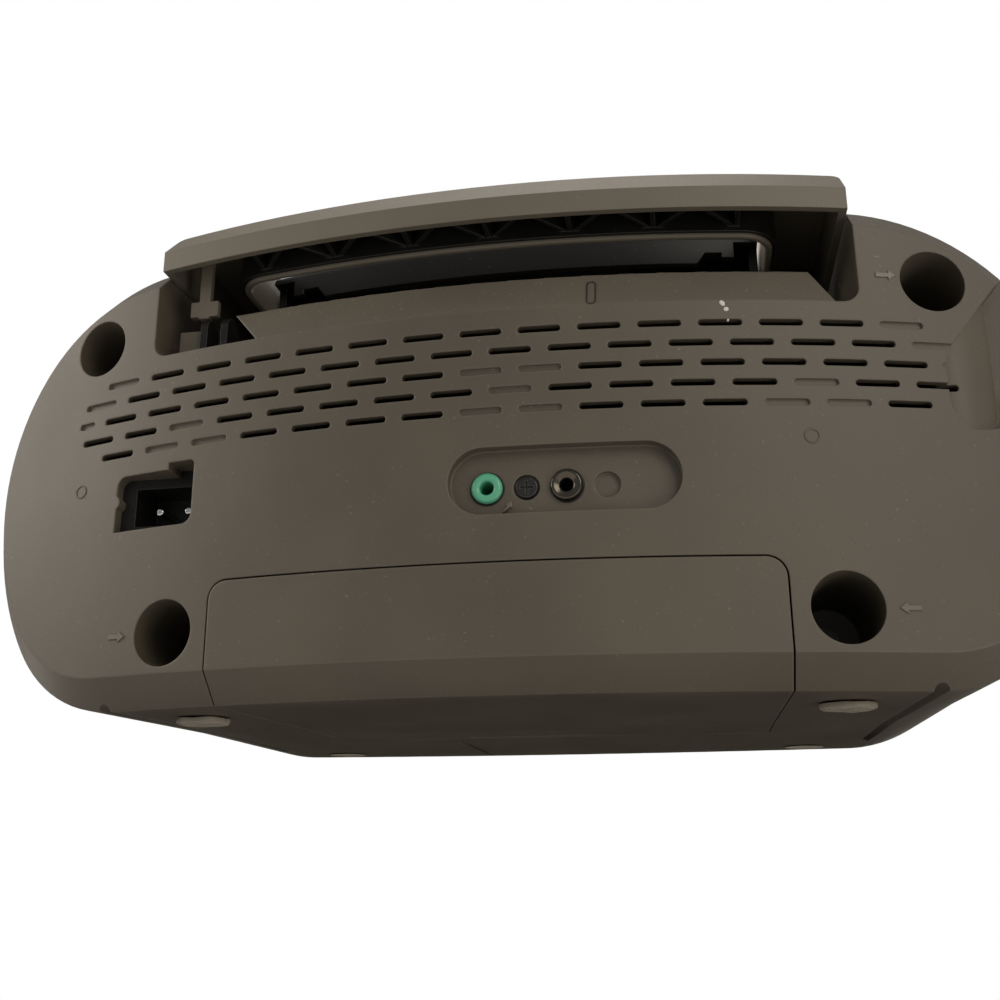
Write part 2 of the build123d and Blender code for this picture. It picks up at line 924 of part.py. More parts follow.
with BuildPart() as top_panel:
    with BuildSketch(Plane.XY.offset(cabinet_top)):
        add(deck_outline(0))
    extrude(amount=deck_height)
    fillet(top_panel.faces().sort_by(Axis.Z)[-1].edges(), deck_edge_round)
    with BuildSketch(Plane.XY.offset(cabinet_top)):
        add(deck_outline(wall))
    extrude(amount=deck_height - wall, mode=Mode.SUBTRACT)
    with BuildPart(mode=Mode.PRIVATE) as trough:
        add(
            upright_box(
                (-trough_half - wall, lid_hinge_y - 3 * trough_reach, trough_floor - wall),
                (trough_half + wall, lid_hinge_y + trough_reach + wall, deck_top - wall / 2),
            )
        )
    add(trough.part)
    add(well_space.part, mode=Mode.SUBTRACT)
    add(
        upright_box(
            (-trough_half, lid_hinge_y - 3 * trough_reach, trough_floor),
            (trough_half, lid_hinge_y + trough_reach, trough_top),
        ),
        mode=Mode.SUBTRACT,
    )
    # Lugs for the hinge pins
    for side in (1, -1):
        with BuildSketch(Plane.YZ.offset(side * lid_lug_x - lid_lug_width / 2)):
            with Locations((lid_hinge_y, lid_hinge_z)):
                Circle(lid_ear_radius)
                Rectangle(
                    2 * lid_ear_radius,
                    lid_hinge_z - trough_floor + 0.5,
                    align=(Align.CENTER, Align.MAX),
                )
                Circle(lid_pin_radius + pin_clearance, mode=Mode.SUBTRACT)
        extrude(amount=lid_lug_width)
    with BuildSketch(Plane.XY.offset(cabinet_top)):
        with Locations((lid_button_x, lid_button_y)):
            Circle(lid_button_radius + button_gap)
    extrude(amount=2 * deck_height, mode=Mode.SUBTRACT)
    # The back skirt is cut up in steps towards both arms
    with BuildSketch(Plane.XZ.offset(-far)):
        with BuildLine():
            Polyline(
                (step_x, cabinet_top - 1),
                (step_x, cabinet_top),
                (step_x + step_ramp, cabinet_top + step_height),
                (tab_x, cabinet_top + step_height),
                (tab_x, cabinet_top + step_height - tab_height),
                (tab_x + tab_width, cabinet_top + step_height - tab_height),
                (tab_x + tab_width, cabinet_top + skirt_end_height),
                (deck_half_width + 1, cabinet_top + skirt_end_height),
                (deck_half_width + 1, cabinet_top - 1),
                close=True,
            )
        make_face()
        mirror(about=Plane.YZ)
    extrude(amount=far - rear_at(deck_half_width) + deck_rear_inset + step_reach - wall, mode=Mode.SUBTRACT)
    # Lugs that hold the handle's pins
    for side in (1, -1):
        with BuildSketch(Plane.YZ.offset(side * deck_half_width)):
            with Locations((arm_pivot_y, arm_pivot_z)):
                Circle(arm_pin_radius + 0.75 * wall)
        extrude(amount=-side * handle_pin_depth)
    with BuildSketch(Plane.YZ.offset(-deck_half_width)):
        with Locations((arm_pivot_y, arm_pivot_z)):
            Circle(arm_pin_radius + pin_clearance)
    extrude(amount=handle_pin_depth, mode=Mode.SUBTRACT)
    with BuildSketch(Plane.YZ.offset(deck_half_width)):
        with Locations((arm_pivot_y, arm_pivot_z)):
            Circle(arm_pin_radius + pin_clearance)
    extrude(amount=-handle_pin_depth, mode=Mode.SUBTRACT)
finish(top_panel, "top_panel")

# Disc well: the black tray under the lid
with BuildPart() as cd_well:
    with BuildSketch(Plane.XY.offset(well_floor_z)):
        with Locations((0, disc_centre_y)):
            Circle(well_radius + well_wall)
    extrude(amount=deck_top - wall - well_floor_z)
    with BuildSketch(Plane.XY.offset(cabinet_top)):
        with Locations((0, disc_centre_y)):
            Circle(well_radius)
    extrude(amount=deck_height, mode=Mode.SUBTRACT)
    with BuildSketch(Plane.XY.offset(well_floor_z)):
        with Locations((0, disc_centre_y)):
            Circle(turntable_radius + wall)
        with Locations((0, disc_centre_y)):
            Rectangle(
                pickup_start + pickup_travel + pickup_head / 2,
                pickup_head + 2 * wall,
                align=(Align.MIN, Align.CENTER),
            )
    extrude(amount=wall, mode=Mode.SUBTRACT)
    trough_space = trough_half + wall + well_floor_gap
    add(
        upright_box(
            (-trough_space, lid_hinge_y - 3 * trough_reach, trough_floor - wall - well_floor_gap),
            (trough_space, lid_hinge_y + 2 * trough_reach, trough_top),
        ),
        mode=Mode.SUBTRACT,
    )
finish(cd_well, "cd_well")


def lid_sector(grow):
    """The window's outline: the front half of a ring."""
    with BuildSketch() as sector:
        with Locations((0, disc_centre_y)):
            Circle(window_outer + grow)
            Circle(window_inner - grow, mode=Mode.SUBTRACT)
        with Locations((0, disc_centre_y - window_edge + grow)):
            Rectangle(4 * well_radius, 2 * well_radius, align=(Align.CENTER, Align.MAX), mode=Mode.INTERSECT)
    return sector.sketch


# Lid with its hinge ears and the ring that keeps the disc clamp
lid_bottom = deck_top + lid_gap
lid_top = lid_bottom + lid_thickness
lid_radius = well_radius + lid_rim
lid_skin = lid_top - lid_wall
with BuildPart() as cd_lid:
    with BuildSketch(Plane.XY.offset(lid_bottom)):
        with Locations((0, disc_centre_y)):
            Circle(lid_radius)
    extrude(amount=lid_thickness)
    fillet(cd_lid.faces().sort_by(Axis.Z)[-1].edges(), lid_wall)
    with BuildSketch(Plane.XY.offset(lid_bottom)):
        with Locations((0, disc_centre_y)):
            Circle(lid_radius - lid_wall - 1)
    extrude(amount=lid_thickness - lid_wall, mode=Mode.SUBTRACT)
    with BuildSketch(Plane.XY.offset(clamp_ledge_z)):
        with Locations((0, disc_centre_y)):
            Circle(clamp_flange + clamp_gap + lid_wall)
    extrude(amount=lid_skin - clamp_ledge_z)
    with BuildSketch(Plane.XY.offset(clamp_ledge_z)):
        with Locations((0, disc_centre_y)):
            Circle(clamp_radius + clamp_gap)
    extrude(amount=lid_skin - clamp_ledge_z, mode=Mode.SUBTRACT)
    with BuildSketch(Plane.XY.offset(clamp_ledge_z + clamp_ledge)):
        with Locations((0, disc_centre_y)):
            Circle(clamp_flange + clamp_gap)
    extrude(amount=lid_skin - clamp_ledge_z - clamp_ledge, mode=Mode.SUBTRACT)
    with BuildSketch(Plane.XY.offset(lid_bottom)):
        add(lid_sector(0))
    extrude(amount=lid_thickness, mode=Mode.SUBTRACT)
    for side in (1, -1):
        with BuildSketch(Plane.YZ.offset(side * lid_ear_x - lid_ear_width / 2)):
            with Locations((lid_hinge_y, lid_hinge_z)):
                Circle(lid_ear_radius)
            with Locations((lid_hinge_y - lid_ear_radius, lid_hinge_z)):
                Rectangle(lid_ear_radius, lid_skin - lid_hinge_z, align=(Align.MIN, Align.MIN))
            with Locations((lid_hinge_y - 3 * lid_ear_radius, lid_bottom)):
                Rectangle(3 * lid_ear_radius, lid_skin - lid_bottom, align=(Align.MIN, Align.MIN))
            with Locations((lid_hinge_y, lid_hinge_z)):
                Circle(lid_pin_radius + pin_clearance, mode=Mode.SUBTRACT)
        extrude(amount=lid_ear_width)
finish(cd_lid, "cd_lid")

with BuildPart() as lid_window:
    with BuildSketch(Plane.XY.offset(lid_bottom)):
        add(lid_sector(window_lip))
    extrude(amount=lid_skin - lid_bottom)
    with BuildSketch(Plane.XY.offset(lid_skin)):
        add(lid_sector(-window_gap))
    extrude(amount=lid_wall - window_drop)
finish(lid_window, "lid_window")

with BuildPart() as lid_hinge_pins:
    for side in (1, -1):
        with BuildSketch(Plane.YZ.offset(side * (lid_ear_x + lid_lug_x) / 2 - lid_pin_length / 2)):
            with Locations((lid_hinge_y, lid_hinge_z)):
                Circle(lid_pin_radius)
        extrude(amount=lid_pin_length)
finish(lid_hinge_pins, "lid_hinge_pins")

with BuildPart() as disc_clamp:
    with BuildSketch(Plane.XY.offset(clamp_low_z)):
        with Locations((0, disc_centre_y)):
            Circle(clamp_radius)
    extrude(amount=clamp_flange_z - clamp_low_z)
    with BuildSketch(Plane.XY.offset(clamp_flange_z)):
        with Locations((0, disc_centre_y)):
            Circle(clamp_flange)
    extrude(amount=clamp_flange_thickness)
finish(disc_clamp, "disc_clamp")

with BuildPart() as lid_button:
    with BuildSketch(Plane.XY.offset(deck_top - wall - lid_button_skirt)):
        with Locations((lid_button_x, lid_button_y)):
            Circle(lid_button_radius)
    extrude(amount=wall + lid_button_skirt + button_stand)
    fillet(lid_button.faces().sort_by(Axis.Z)[-1].edges(), 0.6)
    with BuildSketch(Plane.XY.offset(deck_top - wall - lid_button_skirt)):
        with Locations((lid_button_x, lid_button_y)):
            Circle(lid_button_radius + 1.2)
    extrude(amount=lid_button_skirt - grille_gap)
finish(lid_button, "lid_button")


def bail_outer(inset):
    """The handle's outer plan: straight sides and a back that follows the cabinet."""
    with BuildSketch() as plan:
        with Locations((0, arm_pivot_y - arm_boss_radius)):
            Rectangle(2 * (arm_outer_x - inset), cabinet_depth, align=(Align.CENTER, Align.MIN))
        with Locations((0, rear_axis_y)):
            Circle(rear_radius - inset, mode=Mode.INTERSECT)
    return plan.sketch


def bail_inner(inset):
    """The hand opening inside the handle's grip and arms."""
    with BuildSketch() as plan:
        with Locations((0, arm_pivot_y - far)):
            Rectangle(2 * (arm_inner_x + inset), 2 * far, align=(Align.CENTER, Align.MIN))
        with Locations((0, rear_axis_y)):
            Circle(rear_radius - grip_width + inset, mode=Mode.INTERSECT)
        fillet(plan.vertices().group_by(Axis.Y)[-1], arm_corner + inset)
    return plan.sketch


def arm_side_profile():
    """Side view that rounds the arms' front ends about their pins."""
    with BuildPart() as profile:
        with BuildSketch(Plane.YZ):
            with Locations((arm_pivot_y, arm_pivot_z)):
                Circle(arm_boss_radius)
            with Locations((arm_pivot_y, lip_low_z)):
                Rectangle(cabinet_depth, handle_top - lip_low_z, align=(Align.MIN, Align.MIN))
        extrude(amount=far, both=True)
    return profile.part


arm_ends = arm_side_profile()
with BuildPart() as handle_core:
    with BuildSketch(Plane.XY.offset(handle_underside - 1)):
        add(bail_outer(handle_skin))
    extrude(amount=handle_top - handle_skin - handle_underside + 1)
    core_edge = handle_core.edges().filter_by(Plane.XY).group_by(Axis.Z)[-1].sort_by(Axis.Y)[-1]
    chamfer(core_edge, bevel_size - (2 - math.sqrt(2)) * handle_skin)

with BuildPart() as handle_cover:
    with BuildSketch(Plane.XY.offset(handle_underside)):
        add(bail_outer(0))
    extrude(amount=handle_top - handle_underside)
    top_edges = handle_cover.edges().filter_by(Plane.XY).group_by(Axis.Z)[-1]
    chamfer(top_edges.sort_by(Axis.Y)[-1], bevel_size)
    side_edges = handle_cover.edges().filter_by(Axis.Y).group_by(Axis.Z)[-1]
    fillet(side_edges, handle_skin)
    add(handle_core.part, mode=Mode.SUBTRACT)
    # The inner wall, whose rounded lip is the underside's inner edge
    with BuildPart(mode=Mode.PRIVATE) as lip:
        with BuildSketch(Plane.XY.offset(lip_low_z)):
            add(bail_inner(lip_wall))
            add(bail_inner(0), mode=Mode.SUBTRACT)
        extrude(amount=handle_top - lip_low_z)
        rim = lip.faces().sort_by(Axis.Z)[0].edges()
        fillet(rim.filter_by(lambda edge: edge.center().Y > arm_pivot_y - far / 2), lip_round)
    add(lip.part)
    with BuildSketch(Plane.XY.offset(lip_low_z)):
        add(bail_inner(0))
    extrude(amount=far, mode=Mode.SUBTRACT)
    add(arm_ends, mode=Mode.INTERSECT)
    for side in (1, -1):
        with BuildSketch(Plane.YZ.offset(side * (arm_inner_x - 1))):
            with Locations((arm_pivot_y, arm_pivot_z)):
                Circle(arm_pin_radius + pin_clearance)
        extrude(amount=side * (lip_wall + 2), mode=Mode.SUBTRACT)
    # The stem and broad flange that drop to just above the clip's prongs
    tongue_y = rear_at(tongue_x) - tongue_inset
    tongue_low = notch_floor + clip_height + tongue_clearance
    flange_z = handle_underside - tongue_flange_drop
    for width, low, high in (
        (tongue_width, tongue_low, handle_top - handle_skin),
        (tongue_flange, flange_z - tongue_flange_height, flange_z),
    ):
        add(
            upright_box(
                (tongue_x - width / 2, tongue_y - tongue_thickness, low),
                (tongue_x + width / 2, tongue_y, high),
            )
        )
finish(handle_cover, "handle_cover")

with BuildPart() as handle_frame:
    with BuildSketch(Plane.XY.offset(handle_underside)):
        add(bail_inner(lip_wall + rib_thickness))
        add(bail_inner(lip_wall), mode=Mode.SUBTRACT)
    extrude(amount=handle_top - handle_underside)
    with BuildSketch(Plane.XY.offset(handle_underside + rib_set_in)):
        with BuildLine():
            zigzag = []
            for index in range(rib_count + 1):
                x = (index - rib_count / 2) * rib_pitch
                back = handle_skin / 2 if index % 2 else grip_width - handle_skin / 2
                zigzag.append((x, rear_at(x) - back))
            Polyline(*zigzag)
        trace(line_width=rib_thickness)
        for index in range(0, rib_count + 1, 2):
            x = (index - rib_count / 2) * rib_pitch
            with Locations((x, rear_at(x) - grip_width / 2)):
                Rectangle(rib_thickness, grip_width - handle_skin)
        for side in (1, -1):
            for y in (arm_pivot_y + 3 * arm_boss_radius, arm_pivot_y + 6 * arm_boss_radius):
                with Locations((side * (arm_inner_x + arm_width / 2), y)):
                    Rectangle(arm_width - handle_skin, rib_thickness)
    extrude(amount=handle_top - handle_underside)
    for side in (1, -1):
        with BuildSketch(Plane.YZ.offset(side * arm_inner_x)):
            with Locations((arm_pivot_y, arm_pivot_z)):
                Circle(arm_boss_radius)
        extrude(amount=side * (arm_width - handle_skin))
    with BuildPart(mode=Mode.PRIVATE) as frame_limit:
        add(handle_core.part)
        add(arm_ends, mode=Mode.INTERSECT)
    add(frame_limit.part, mode=Mode.INTERSECT)
    with BuildSketch(Plane.XY.offset(lip_low_z)):
        add(bail_inner(lip_wall))
    extrude(amount=far, mode=Mode.SUBTRACT)
    with BuildSketch(Plane.YZ.offset(-arm_outer_x)):
        with Locations((arm_pivot_y, arm_pivot_z)):
            Circle(arm_pin_radius + pin_clearance)
    extrude(amount=2 * arm_outer_x, mode=Mode.SUBTRACT)
finish(handle_frame, "handle_frame")

with BuildPart() as handle_pins:
    for side in (1, -1):
        with BuildSketch(Plane.YZ.offset(side * (deck_half_width - handle_pin_depth))):
            with Locations((arm_pivot_y, arm_pivot_z)):
                Circle(arm_pin_radius)
        extrude(amount=side * (handle_pin_depth + arm_width / 2))
finish(handle_pins, "handle_pins")

clip_y = rear_at(clip_x) - clip_inset
with BuildPart() as handle_clip:
    with BuildSketch(Plane.XY.offset(notch_floor)):
        with Locations((clip_x, clip_y)):
            Rectangle(2 * clip_prong + clip_slot, clip_depth)
    extrude(amount=clip_prong / 2)
    for side in (1, -1):
        with BuildSketch(Plane.YZ.offset(clip_x + side * (clip_slot + clip_prong) / 2 - clip_prong / 2)):
            with Locations((clip_y, notch_floor)):
                Rectangle(clip_depth, clip_height - clip_depth / 2, align=(Align.CENTER, Align.MIN))
            with Locations((clip_y, notch_floor + clip_height - clip_depth / 2)):
                Circle(clip_depth / 2)
        extrude(amount=clip_prong)
finish(handle_clip, "handle_clip")

# Antenna: a plug that swivels in the ledge's wall, a fork, and four nested tubes
fork_x = ledge_wall_x - antenna_plug_length
tube_root = antenna_y - fork_radius - 1.5
with BuildPart() as antenna_base:
    with BuildSketch(Plane.YZ.offset(ledge_wall_x - grille_gap)):
        with Locations((antenna_y, antenna_z)):
            Circle(antenna_plug_radius)
    extrude(amount=-(antenna_plug_length - grille_gap))
    with BuildSketch(Plane.YZ.offset(ledge_wall_x - grille_gap)):
        with Locations((antenna_y, antenna_z)):
            Circle(antenna_stem_radius)
    extrude(amount=wall + 3)
    with BuildSketch(Plane.XY.offset(antenna_z - fork_height / 2)):
        with Locations((fork_x, antenna_y)):
            Rectangle(fork_x - antenna_x, 2 * fork_radius, align=(Align.MAX, Align.CENTER))
        with Locations((antenna_x, antenna_y)):
            Circle(fork_radius)
    extrude(amount=fork_height)
    with BuildSketch(Plane.XY.offset(antenna_z - tongue_height / 2 - grille_gap)):
        with Locations((antenna_x, antenna_y)):
            Circle(fork_radius + 1)
    extrude(amount=tongue_height + 2 * grille_gap, mode=Mode.SUBTRACT)
    with BuildSketch(Plane.XY.offset(antenna_z - fork_height)):
        with Locations((antenna_x, antenna_y)):
            Circle(fork_pin_radius + pin_clearance)
    extrude(amount=2 * fork_height, mode=Mode.SUBTRACT)
finish(antenna_base, "antenna_base")

with BuildPart() as antenna_fork_pin:
    with BuildSketch(Plane.XY.offset(antenna_z - fork_height / 2)):
        with Locations((antenna_x, antenna_y)):
            Circle(fork_pin_radius)
    extrude(amount=fork_height)
finish(antenna_fork_pin, "antenna_fork_pin")

with BuildPart() as antenna_tube_1:
    with BuildSketch(Plane.XZ.offset(-tube_root)):
        with Locations((antenna_x, antenna_z)):
            Circle(antenna_tube_radius)
    extrude(amount=antenna_length)
    with BuildSketch(Plane.XZ.offset(-tube_root + wall)):
        with Locations((antenna_x, antenna_z)):
            Circle(antenna_tube_radius - antenna_tube_wall)
    extrude(amount=antenna_length, mode=Mode.SUBTRACT)
    with BuildSketch(Plane.XY.offset(antenna_z - tongue_height / 2)):
        with Locations((antenna_x, antenna_y)):
            Circle(fork_radius)
        with Locations((antenna_x, antenna_y)):
            Rectangle(2 * fork_pin_radius + wall, antenna_y - tube_root + 1, align=(Align.CENTER, Align.MAX))
        with Locations((antenna_x, antenna_y)):
            Circle(fork_pin_radius + pin_clearance, mode=Mode.SUBTRACT)
    extrude(amount=tongue_height)
finish(antenna_tube_1, "antenna_tube_1")

tube_outer = antenna_tube_radius
for number in (2, 3, 4):
    tube_outer = tube_outer - antenna_tube_wall - antenna_tube_gap
    with BuildPart() as antenna_tube:
        with BuildSketch(Plane.XZ.offset(-tube_root + wall + number)):
            with Locations((antenna_x, antenna_z)):
                Circle(tube_outer)
                if number < 4:
                    Circle(tube_outer - antenna_tube_wall, mode=Mode.SUBTRACT)
        extrude(amount=antenna_length - wall - number)
        if number == 4:
            with BuildSketch(Plane.XZ.offset(-tube_root + antenna_length)):
                with Locations((antenna_x, antenna_z)):
                    Circle(antenna_tip_radius)
            extrude(amount=antenna_tip_length)
    finish(antenna_tube, f"antenna_tube_{number}")

# Battery door: rear leg, band and long flange are one skin cut out of the casing
with BuildPart() as battery_door:
    add(outer_block)
    add(inner_block, mode=Mode.SUBTRACT)
    add(door_prism(0), mode=Mode.INTERSECT)
    with BuildSketch():
        with Locations((door_latch_x, door_front_y + door_latch_width)):
            SlotOverall(door_latch_length, door_latch_width)
    extrude(amount=foot_height + wall / 2, mode=Mode.SUBTRACT)
finish(battery_door, "battery_door")

box_half = door_half_width + box_wall + box_clearance
box_top = door_top + box_wall + box_clearance
box_front = door_front_y - door_gap
with BuildPart() as battery_box:
    with BuildSketch(Plane.XY.offset(floor_top)):
        with Locations((0, box_front - box_wall)):
            Rectangle(2 * box_half, box_rear_y - box_front + box_wall, align=(Align.CENTER, Align.MIN))
        with Locations((0, box_front)):
            Rectangle(2 * (box_half - box_wall), far, align=(Align.CENTER, Align.MIN), mode=Mode.SUBTRACT)
    extrude(amount=box_top - floor_top)
    with BuildSketch(Plane.XY.offset(box_top - box_wall)):
        with Locations((0, box_front - box_wall)):
            Rectangle(2 * box_half, box_rear_y - box_front + box_wall, align=(Align.CENTER, Align.MIN))
    extrude(amount=box_wall)
    with BuildSketch(Plane.XY.offset(box_top - 3 * box_wall)):
        with Locations((0, (box_front + box_rear_y) / 2)):
            Rectangle(2 * box_half - box_wall, box_wall)
    extrude(amount=3 * box_wall)
    with BuildSketch(Plane.XY.offset(box_top)):
        with Locations(*board_post_places):
            Circle(post_radius)
    extrude(amount=main_board_z - box_top)
finish(battery_box, "battery_box")

with BuildPart() as battery_contacts:
    for side in (1, -1):
        with BuildSketch(Plane.YZ.offset(side * (box_half - box_wall))):
            for y in (box_front + contact_width, box_rear_y - contact_width):
                with Locations((y, floor_top + wall)):
                    Rectangle(contact_width, contact_height, align=(Align.CENTER, Align.MIN))
        extrude(amount=-side * contact_thickness)
finish(battery_contacts, "battery_contacts")

# Boards and what stands on them
board_z_top = main_board_z + board_thickness
with BuildPart() as main_board:
    with BuildSketch(Plane.XY.offset(main_board_z)):
        with Locations((0, (main_board_front + main_board_rear) / 2)):
            Rectangle(2 * main_board_half, main_board_rear - main_board_front)
    extrude(amount=board_thickness)
    with BuildSketch(Plane.XY.offset(board_z_top)):
        with Locations((-45, 30), (-28, 22), (40, 28)):
            Circle(capacitor_radius)
        with Locations((5, 40)):
            Rectangle(24, 24)
    extrude(amount=capacitor_height)
finish(main_board, "main_board")

jack_front_y = rear_at(jack_recess_x - jack_recess_length / 2) - jack_recess_depth - 2 * wall
with BuildPart() as jack_board:
    with BuildSketch(Plane.XZ.offset(-(jack_front_y - jack_body))):
        with Locations((jack_recess_x, board_z_top)):
            Rectangle(jack_recess_length, jack_z - board_z_top + 12, align=(Align.CENTER, Align.MIN))
        with Locations((jack_screw_x, jack_z)):
            Circle(jack_screw_radius + pin_clearance, mode=Mode.SUBTRACT)
    extrude(amount=board_thickness)
finish(jack_board, "jack_board")


for x, name in ((headphone_x, "headphone_jack"), (audio_in_x, "audio_in_jack")):
    front = rear_at(x) - jack_recess_depth + bushing_stand
    with BuildPart() as socket:
        with BuildSketch(Plane.XZ.offset(-front)):
            with Locations((x, jack_z)):
                Circle(jack_bushing_radius)
        extrude(amount=front - jack_front_y)
        with BuildSketch(Plane.XZ.offset(-jack_front_y)):
            with Locations((x, jack_z)):
                Rectangle(jack_body_width, jack_body_width)
        extrude(amount=jack_body)
        with BuildSketch(Plane.XZ.offset(-front)):
            with Locations((x, jack_z)):
                Circle(jack_bore_radius)
        extrude(amount=jack_bore_length, mode=Mode.SUBTRACT)
    finish(socket, name)

screw_seat_y = rear_at(jack_screw_x + counterbore_radius) - jack_recess_depth - counterbore_depth
with BuildPart() as jack_screw:
    with BuildSketch(Plane.XZ.offset(-screw_seat_y - 1.4)):
        with Locations((jack_screw_x, jack_z)):
            Circle(counterbore_radius - 0.5)
    extrude(amount=1.4)
    fillet(jack_screw.faces().sort_by(Axis.Y)[-1].edges(), 0.5)
    with BuildSketch(Plane.XZ.offset(-screw_seat_y)):
        with Locations((jack_screw_x, jack_z)):
            Circle(jack_screw_radius)
    extrude(amount=screw_seat_y - jack_front_y + jack_body + board_thickness)
    with BuildSketch(Plane.XZ.offset(-screw_seat_y - 1.4)):
        with Locations((jack_screw_x, jack_z)):
            Rectangle(3.4, 0.7)
            Rectangle(0.7, 3.4)
    extrude(amount=0.9, mode=Mode.SUBTRACT)
finish(jack_screw, "jack_screw")

# Mains inlet and its pins
with BuildPart() as ac_inlet:
    with BuildSketch(Plane.XZ.offset(-inlet_face_y)):
        with Locations((inlet_middle_x, inlet_middle_z)):
            Rectangle(
                inlet_high_x - inlet_low_x + 2 * wall,
                inlet_high_z - inlet_low_z + 2 * (wall + inlet_notch_height),
            )
    extrude(amount=inlet_body_depth)
    with BuildSketch(Plane.XZ.offset(-inlet_face_y)):
        with Locations((inlet_pin_x, inlet_cavity_z)):
            Rectangle(inlet_cavity_width, inlet_cavity_height)
    extrude(amount=inlet_cavity_depth, mode=Mode.SUBTRACT)
    with BuildSketch(Plane.XZ.offset(-inlet_face_y)):
        with Locations(*[(inlet_pin_x + side * inlet_pin_spacing / 2, inlet_pin_z) for side in (1, -1)]):
            Circle(inlet_pin_radius)
    extrude(amount=inlet_body_depth, mode=Mode.SUBTRACT)
finish(ac_inlet, "ac_inlet")

with BuildPart() as inlet_pins:
    with BuildSketch(Plane.XZ.offset(-inlet_face_y + 1)):
        with Locations(*[(inlet_pin_x + side * inlet_pin_spacing / 2, inlet_pin_z) for side in (1, -1)]):
            Circle(inlet_pin_radius - 0.02)
    extrude(amount=inlet_body_depth)
    fillet(inlet_pins.faces().group_by(Axis.Y)[-1].edges(), 0.6)
finish(inlet_pins, "inlet_pins")

with BuildPart() as power_transformer:
    with BuildSketch(Plane.XY.offset(floor_top)):
        with Locations((transformer_x, transformer_y)):
            Rectangle(transformer_width, transformer_depth)
    extrude(amount=transformer_height)
    with BuildSketch(Plane.XY.offset(floor_top + transformer_height * 0.2)):
        with Locations((transformer_x, transformer_y)):
            Rectangle(transformer_width * 0.7, transformer_depth * 1.4)
    extrude(amount=transformer_height * 0.6)
finish(power_transformer, "power_transformer")

with BuildPart() as cabinet_screws:
    for x, z, radius in screw_places:
        with BuildSketch(Plane.XZ.offset(-screw_head_y - screw_head_height)):
            with Locations((x, z)):
                Circle(2 * cabinet_screw_radius)
        extrude(amount=screw_head_height)
        with BuildSketch(Plane.XZ.offset(-screw_head_y)):
            with Locations((x, z)):
                Circle(cabinet_screw_radius)
        extrude(amount=cabinet_screw_length)
finish(cabinet_screws, "cabinet_screws")

with BuildPart() as rubber_feet:
    with BuildSketch():
        with Locations(*[(side * foot_x, y) for side in (1, -1) for y in (foot_rear_y, foot_front_y)]):
            Circle(foot_radius)
    extrude(amount=foot_height)
    fillet(rubber_feet.faces().filter_by(Plane.XY).group_by(Axis.Z)[0].edges(), 1)
    add(outer_block, mode=Mode.SUBTRACT)
finish(rubber_feet, "rubber_feet")


# Disc mechanism: a chassis on rubber dampers with two motors, and the pickup on its rods
chassis_top = chassis_z + chassis_thickness
rod_places = [disc_centre_y + side * rod_spread for side in (1, -1)]
with BuildPart() as mech_chassis:
    with BuildSketch(Plane.XY.offset(chassis_z)):
        with Locations(((chassis_low_x + chassis_high_x) / 2, disc_centre_y)):
            RectangleRounded(chassis_high_x - chassis_low_x, chassis_width, 4)
        with Locations((0, disc_centre_y), (pinion_x, pinion_y)):
            Circle(2 * spindle_radius, mode=Mode.SUBTRACT)
    extrude(amount=chassis_thickness)
    with BuildSketch(Plane.XY.offset(chassis_top)):
        for y in rod_places:
            with Locations((near_post_x, y), (far_post_x, y)):
                Rectangle(post_size, post_size)
    extrude(amount=pickup_top_z - button_gap - chassis_top)
    with BuildSketch(Plane.YZ.offset(near_post_x - post_size)):
        with Locations(*[(y, rod_z) for y in rod_places]):
            Circle(rod_radius + 0.02)
    extrude(amount=far_post_x - near_post_x + 2 * post_size, mode=Mode.SUBTRACT)
finish(mech_chassis, "mech_chassis")

with BuildPart() as guide_rods:
    with BuildSketch(Plane.YZ.offset(near_post_x - post_size / 2)):
        with Locations(*[(y, rod_z) for y in rod_places]):
            Circle(rod_radius)
    extrude(amount=far_post_x - near_post_x + post_size)
finish(guide_rods, "guide_rods")

with BuildPart() as mech_dampers:
    with BuildSketch(Plane.XY.offset(chassis_top)):
        with Locations(*damper_places):
            Circle(damper_radius)
    extrude(amount=well_floor_z - chassis_top)
finish(mech_dampers, "mech_dampers")

for x, y, radius, name in (
    (0, disc_centre_y, spindle_motor_radius, "spindle_motor"),
    (pinion_x, pinion_y, sled_motor_radius, "sled_motor"),
):
    with BuildPart() as motor:
        with BuildSketch(Plane.XY.offset(motor_low_z)):
            with Locations((x, y)):
                Circle(radius)
        extrude(amount=chassis_z - motor_low_z)
        fillet(motor.edges().group_by(Axis.Z)[0], 1)
        with BuildSketch(Plane.XY.offset(motor_low_z + 2 * wall / 2)):
            with Locations((x, y)):
                Circle(spindle_radius + pin_clearance)
        extrude(amount=chassis_z - motor_low_z, mode=Mode.SUBTRACT)
    finish(motor, name)

with BuildPart() as turntable:
    with BuildSketch(Plane.XY.offset(turntable_top - turntable_thickness)):
        with Locations((0, disc_centre_y)):
            Circle(turntable_radius)
    extrude(amount=turntable_thickness)
    with BuildSketch(Plane.XY.offset(turntable_top)):
        with Locations((0, disc_centre_y)):
            Circle(hub_radius)
    extrude(amount=hub_height)
    chamfer(turntable.faces().sort_by(Axis.Z)[-1].edges(), 1.6)
    with BuildSketch(Plane.XY.offset(motor_low_z + 2 * wall)):
        with Locations((0, disc_centre_y)):
            Circle(spindle_radius)
    extrude(amount=turntable_top - turntable_thickness / 2 - motor_low_z - 2 * wall)
finish(turntable, "turntable")

